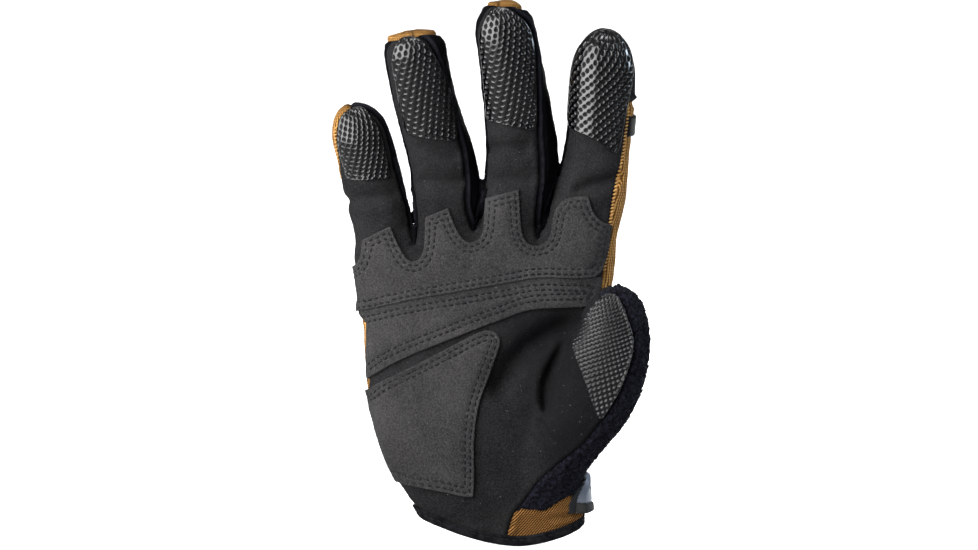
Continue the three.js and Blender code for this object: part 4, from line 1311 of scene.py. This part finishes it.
# The rows run along the surface, so they keep their pitch where the film turns round the thumb's side
steps = np.linalg.norm(np.diff(p.reshape(len(z), len(x), 3), axis=1), axis=2)
along = np.pad(np.cumsum(steps, axis=1), ((0, 0), (1, 0)))
along -= along[:, [np.argmin(np.abs(x - LEAF_MIDDLE))]]
f = f[(edge > -0.15)[f].all(1)]
p, f, u, v, edge = used(p, f, along.ravel(), grid_z, edge)
closer = np.clip(v - 68, 0, 20)
fine = v + 0.014 * closer ** 2 / 2 + 0.28 * np.maximum(v - 88, 0)
dash = to_lattice(u * (1 + 0.014 * closer), fine, (1.9, 0.72), (-0.3, 1.95), 0.75, 2.1)
raised = eased(ramp(1.15 - dash, 0, 0.6))
lip = 0.5 * bell(edge - 0.8, 0.4) * ramp(u + LEAF_MIDDLE, 46, 3)
height = np.where(edge < 0.05, -0.3, 0.3 + 0.75 * raised * ramp(edge, 0, 0.5) + lip)
leaf_film, shader, place = material("thumb_film", Roughness=0.28, Specular_IOR_Level=0.4)
ridge = place.kept("film")
# The raised dashes are coloured lighter than the film between them, and lighter still in random flecks
ridge_flecks = place.noise(0.8, 2.0).smooth(0.6, 0.72) * ridge
finish(shader, place.noise(0.4), 0.08, Base_Color=(ridge * 0.6 + ridge_flecks * 0.4).mixed(
    (0.0028, 0.0028, 0.0034, 1), (0.03, 0.03, 0.031, 1)))
made = piece("grip_thumb_print", p + outward(glove, p) * height[:, None], f, leaf_film,
             "grip_thumb")
keep_value(made, "film", raised)

# Joint bands: flexible rubber moulded over the finger joints of the back, each with three soft ribs.
BAND = 1.4
# Each band's finger, its lower and upper height, and the angles round the finger from the palm side
BANDS = {
    "joint_band_little": (little, 149, 157, 2.3, 4.0), "joint_band_ring": (ring, 171, 179, 2.3, 4.0),
    "joint_band_middle": (middle, 178, 186, 2.3, 4.0), "joint_band_index": (index, 169.2, 177.4, 0.95, 4.0),
}
rubber, shader, place = material("band_rubber", Base_Color=(0.006, 0.006, 0.007, 1), Specular_IOR_Level=0.1)
finish(shader, place.noise(0.5), 0.04, Roughness=place.noise(4.0, 3.0) * 0.25 + 0.3)
for name, (c, low, high, first, last) in BANDS.items():
    p, f, s_all, turn_all = wrapped(c, hand, np.linspace(low, high, 34), np.linspace(first, last, 60))
    in_s = np.minimum(s_all - low, high - s_all)
    in_turn = np.minimum(turn_all - first, last - turn_all) * 13
    depth = np.minimum(in_s, in_turn)
    ribs = 0.3 * np.cos((s_all - (low + high) / 2) * 2 * np.pi / 2.5) * np.clip((turn_all - 1.9) * 3, 0, 1)
    body = BAND * np.clip((turn_all - 0.4) / 1.6, 0.5, 1) + ribs
    height = np.where(depth < 1e-6, -0.4, 0.2 + body * quarter_round(depth, 0.9))
    piece(name + "_rubber", p + outward(hand, p) * height[:, None], f, rubber, name)

# Cuff binding: black tape folded over the wrist edge and sewn through. Its section runs from outside the
# cloth, under the edge and up inside; each pair is the distance off the skin and the height over the rim.
BINDING_SECTION = np.array([
    (-0.4, 4.5), (0.5, 4.45), (0.92, 4.1), (0.87, 3.3), (0.67, 2.9), (0.97, 2.4), (1.05, 1.4), (0.97, 0.6),
    (0.55, 0.12), (-0.2, 0.0), (-1.6, 0.0), (-2.3, 0.15), (-2.65, 0.8), (-2.7, 2), (-2.6, 3.6), (-2.2, 4.15),
    (-1.4, 4.2),
])
BINDING_SEAM = 2.9
RIM_STEPS = 260
turn = np.linspace(0, 2 * np.pi, RIM_STEPS, endpoint=False)
rim_x = 4 + 20 * np.sin(turn)
way = np.stack([np.sin(turn) * 1.0, -np.cos(turn) * 0.62, np.zeros_like(turn)], 1)
way /= np.linalg.norm(way, axis=1)[:, None]


def rim_point(height):
    """Points round the cuff at a height over its edge."""
    start = np.stack([rim_x, np.full_like(turn, 1.0), np.full_like(turn, 5.0)], 1)
    for _ in range(6):
        p = leaving(glove, start, way, 6.0)
        start[:, 2] += height - over_rim(p)
    return p


tape_rows = []
for off, height in BINDING_SECTION:
    p = rim_point(height)
    g = outward(glove, p)
    g[:, 2] *= 0.3
    g /= np.linalg.norm(g, axis=1)[:, None]
    crease = 0.07 * waves(p, 3.2, 31) + 0.12 * waves(p, 11, 32)
    tape_rows.append(p + g * (off + crease * (off > -1))[:, None])
tape_points = np.stack(tape_rows, 0)
binding_tape, shader, place = material("binding_tape", Roughness=0.85, Specular_IOR_Level=0.05)
x, y, z = place.parts()
weave = 0.5 + 0.5 * ((x + y * 0.6) * 9.0).wave("SINE") * (z * 7.0).wave("SINE")
faded = place.noise(3.0, 3.0).smooth(0.35, 0.7)
finish(shader, weave + place.noise(0.5) * 0.5, 0.12,
       Base_Color=faded.mixed((0.0035, 0.0035, 0.0045, 1), (0.0125, 0.0125, 0.0145, 1)))
piece("cuff_binding_tape", tape_points.reshape(-1, 3),
      grid_faces(len(BINDING_SECTION), RIM_STEPS, round_columns=True), binding_tape,
      "cuff_binding")
seat = rim_point(BINDING_SEAM)
run = run_of(seat)
seat = places_on(seat, run, np.arange(0, run[-1], 3.0))
up = outward(glove, seat)
ahead = np.roll(seat, -1, 0) - seat
threads("cuff_binding_stitches", thread, seat + up * 0.72, ahead, up, 2.1, 0.55, 0.5)

# Wrist strap: a stiff woven strap round the back of the wrist, sewn down on the little finger side with a
# box of stitches, its edges turned and topstitched.
STRAP_LOW, STRAP_HIGH = 16.4, 34.4
TOPSTITCH = 2.2
CROSS_ROW = 15
strap_web, shader, place = material("strap_web", Roughness=0.85, Specular_IOR_Level=0.15)
u, v, _ = place.node("UVMap", {"uv_map": "cloth"}).parts()
twill = 0.5 + 0.5 * ((u + v) * 6.0).wave("SINE") * ((u - v) * 6.0).wave("SINE")
finish(shader, twill, 0.16, Base_Color=(twill * 0.6 + place.noise(5.0, 3.0) * 0.4).mixed(
    (0.011, 0.011, 0.0125, 1), (0.042, 0.042, 0.046, 1)))
s = np.linspace(STRAP_LOW, STRAP_HIGH, 46)
turn = np.linspace(np.radians(105), np.radians(226), 140)
p, f, s_all, _ = wrapped(palm, glove, s, turn)
row = p.reshape(len(s), len(turn), 3)[len(s) // 2]
run = run_of(row)
u = np.tile(run, len(s))
depth = np.minimum(np.minimum(s_all - STRAP_LOW, STRAP_HIGH - s_all), np.minimum(u, run[-1] - u))
height = 0.4 + 2.1 * quarter_round(depth, 0.8) - 0.35 * bell(depth - TOPSTITCH, 0.5)
height = np.where(depth < 1e-6, -0.3, height)
piece("wrist_strap_web", p + outward(glove, p) * height[:, None], f, strap_web,
      "wrist_strap", np.stack([u, s_all], 1))
left, right = TOPSTITCH, run[-1] - TOPSTITCH
low, high = STRAP_LOW + TOPSTITCH, STRAP_HIGH - TOPSTITCH
box = np.array([(left, low), (right, low), (right, high), (left, high)])
cross = np.stack([np.full(5, run[-1] - CROSS_ROW), np.linspace(20, 31, 5)], 1)
spots = np.vstack([inset_row(box, 0.0, 3.0), cross])
upright = np.min([np.abs(spots[:, 0] - at) for at in (left, right, run[-1] - CROSS_ROW)], axis=0) < 0.3
seat = around(palm, glove, spots[:, 1], np.interp(spots[:, 0], run, turn))
ahead = around(palm, glove, spots[:, 1], np.interp(spots[:, 0] + 0.3, run, turn)) - seat
ahead[upright] = (0, 0, 1)
up = outward(glove, seat)
threads("wrist_strap_stitches", thread, seat + up * 2.15, ahead, up, 2.2, 0.6, 0.55)

# Pull tab: a moulded rubber grip at the strap's thumb end, on a thin black foot. It is thickest at its
# lower end, where it ends in a dark lip, and has a bevel along its front edge. Its blue-grey face shines.
# Its outline is y and height, as it shows from the thumb's side.
TAB_OUTLINE = rounded([
    (-7.2, 12), (-5.6, 11.5), (7.4, 11.5), (9.4, 13.5), (9.4, 28.4), (7.6, 30.6), (1, 30.6), (-2.6, 29.6),
    (-8, 22.6), (-8.4, 20.4), (-8.2, 14),
])
turn = np.linspace(np.radians(52), np.radians(112), 120)
p, f, _, _ = wrapped(palm, glove, np.linspace(11.1, 31, 116), turn)
depth = -beyond(p[:, 1], p[:, 2], TAB_OUTLINE)
foot = depth + 1.9 * ramp(25 - p[:, 2], 0, 3) * ramp(-p[:, 1], 0, 2)
f = f[(foot > -0.12)[f].all(1)]
p, f, depth, foot = used(p, f, depth, foot)
y, z = p[:, 1], p[:, 2]
thick = np.interp(z, [12.4, 18, 30], [3.9, 3.1, 1.7])
lip = 0.45 * ramp(17.8 - z, 0, 0.5)
mark = spot(y, z, (-3.6, 23.6), 0.4)
height = 0.8 + (thick + lip - 0.4 * bell(z - 18.3, 0.35)) * ramp(depth, 0, 1.5) - 0.5 * mark
height = np.where(depth < 0, 0.75 * quarter_round(foot, 0.6), height)
tab_rubber, shader, place = material("tab_rubber", Specular_IOR_Level=0.35)
face_part = place.kept("film")
finish(shader, place.noise(0.6), 0.03, Roughness=place.noise(3.0, 3.0) * 0.2 + 0.55 - face_part * 0.33,
       Base_Color=face_part.mixed((0.003, 0.0035, 0.004, 1), (0.115, 0.133, 0.172, 1)))
made = piece("pull_tab_rubber", p + outward(glove, p) * height[:, None], f, tab_rubber,
             "pull_tab")
keep_value(made, "film", (depth > 0.1) * (1 - mark) * ((z > 17.9) | (z < 13.5)))
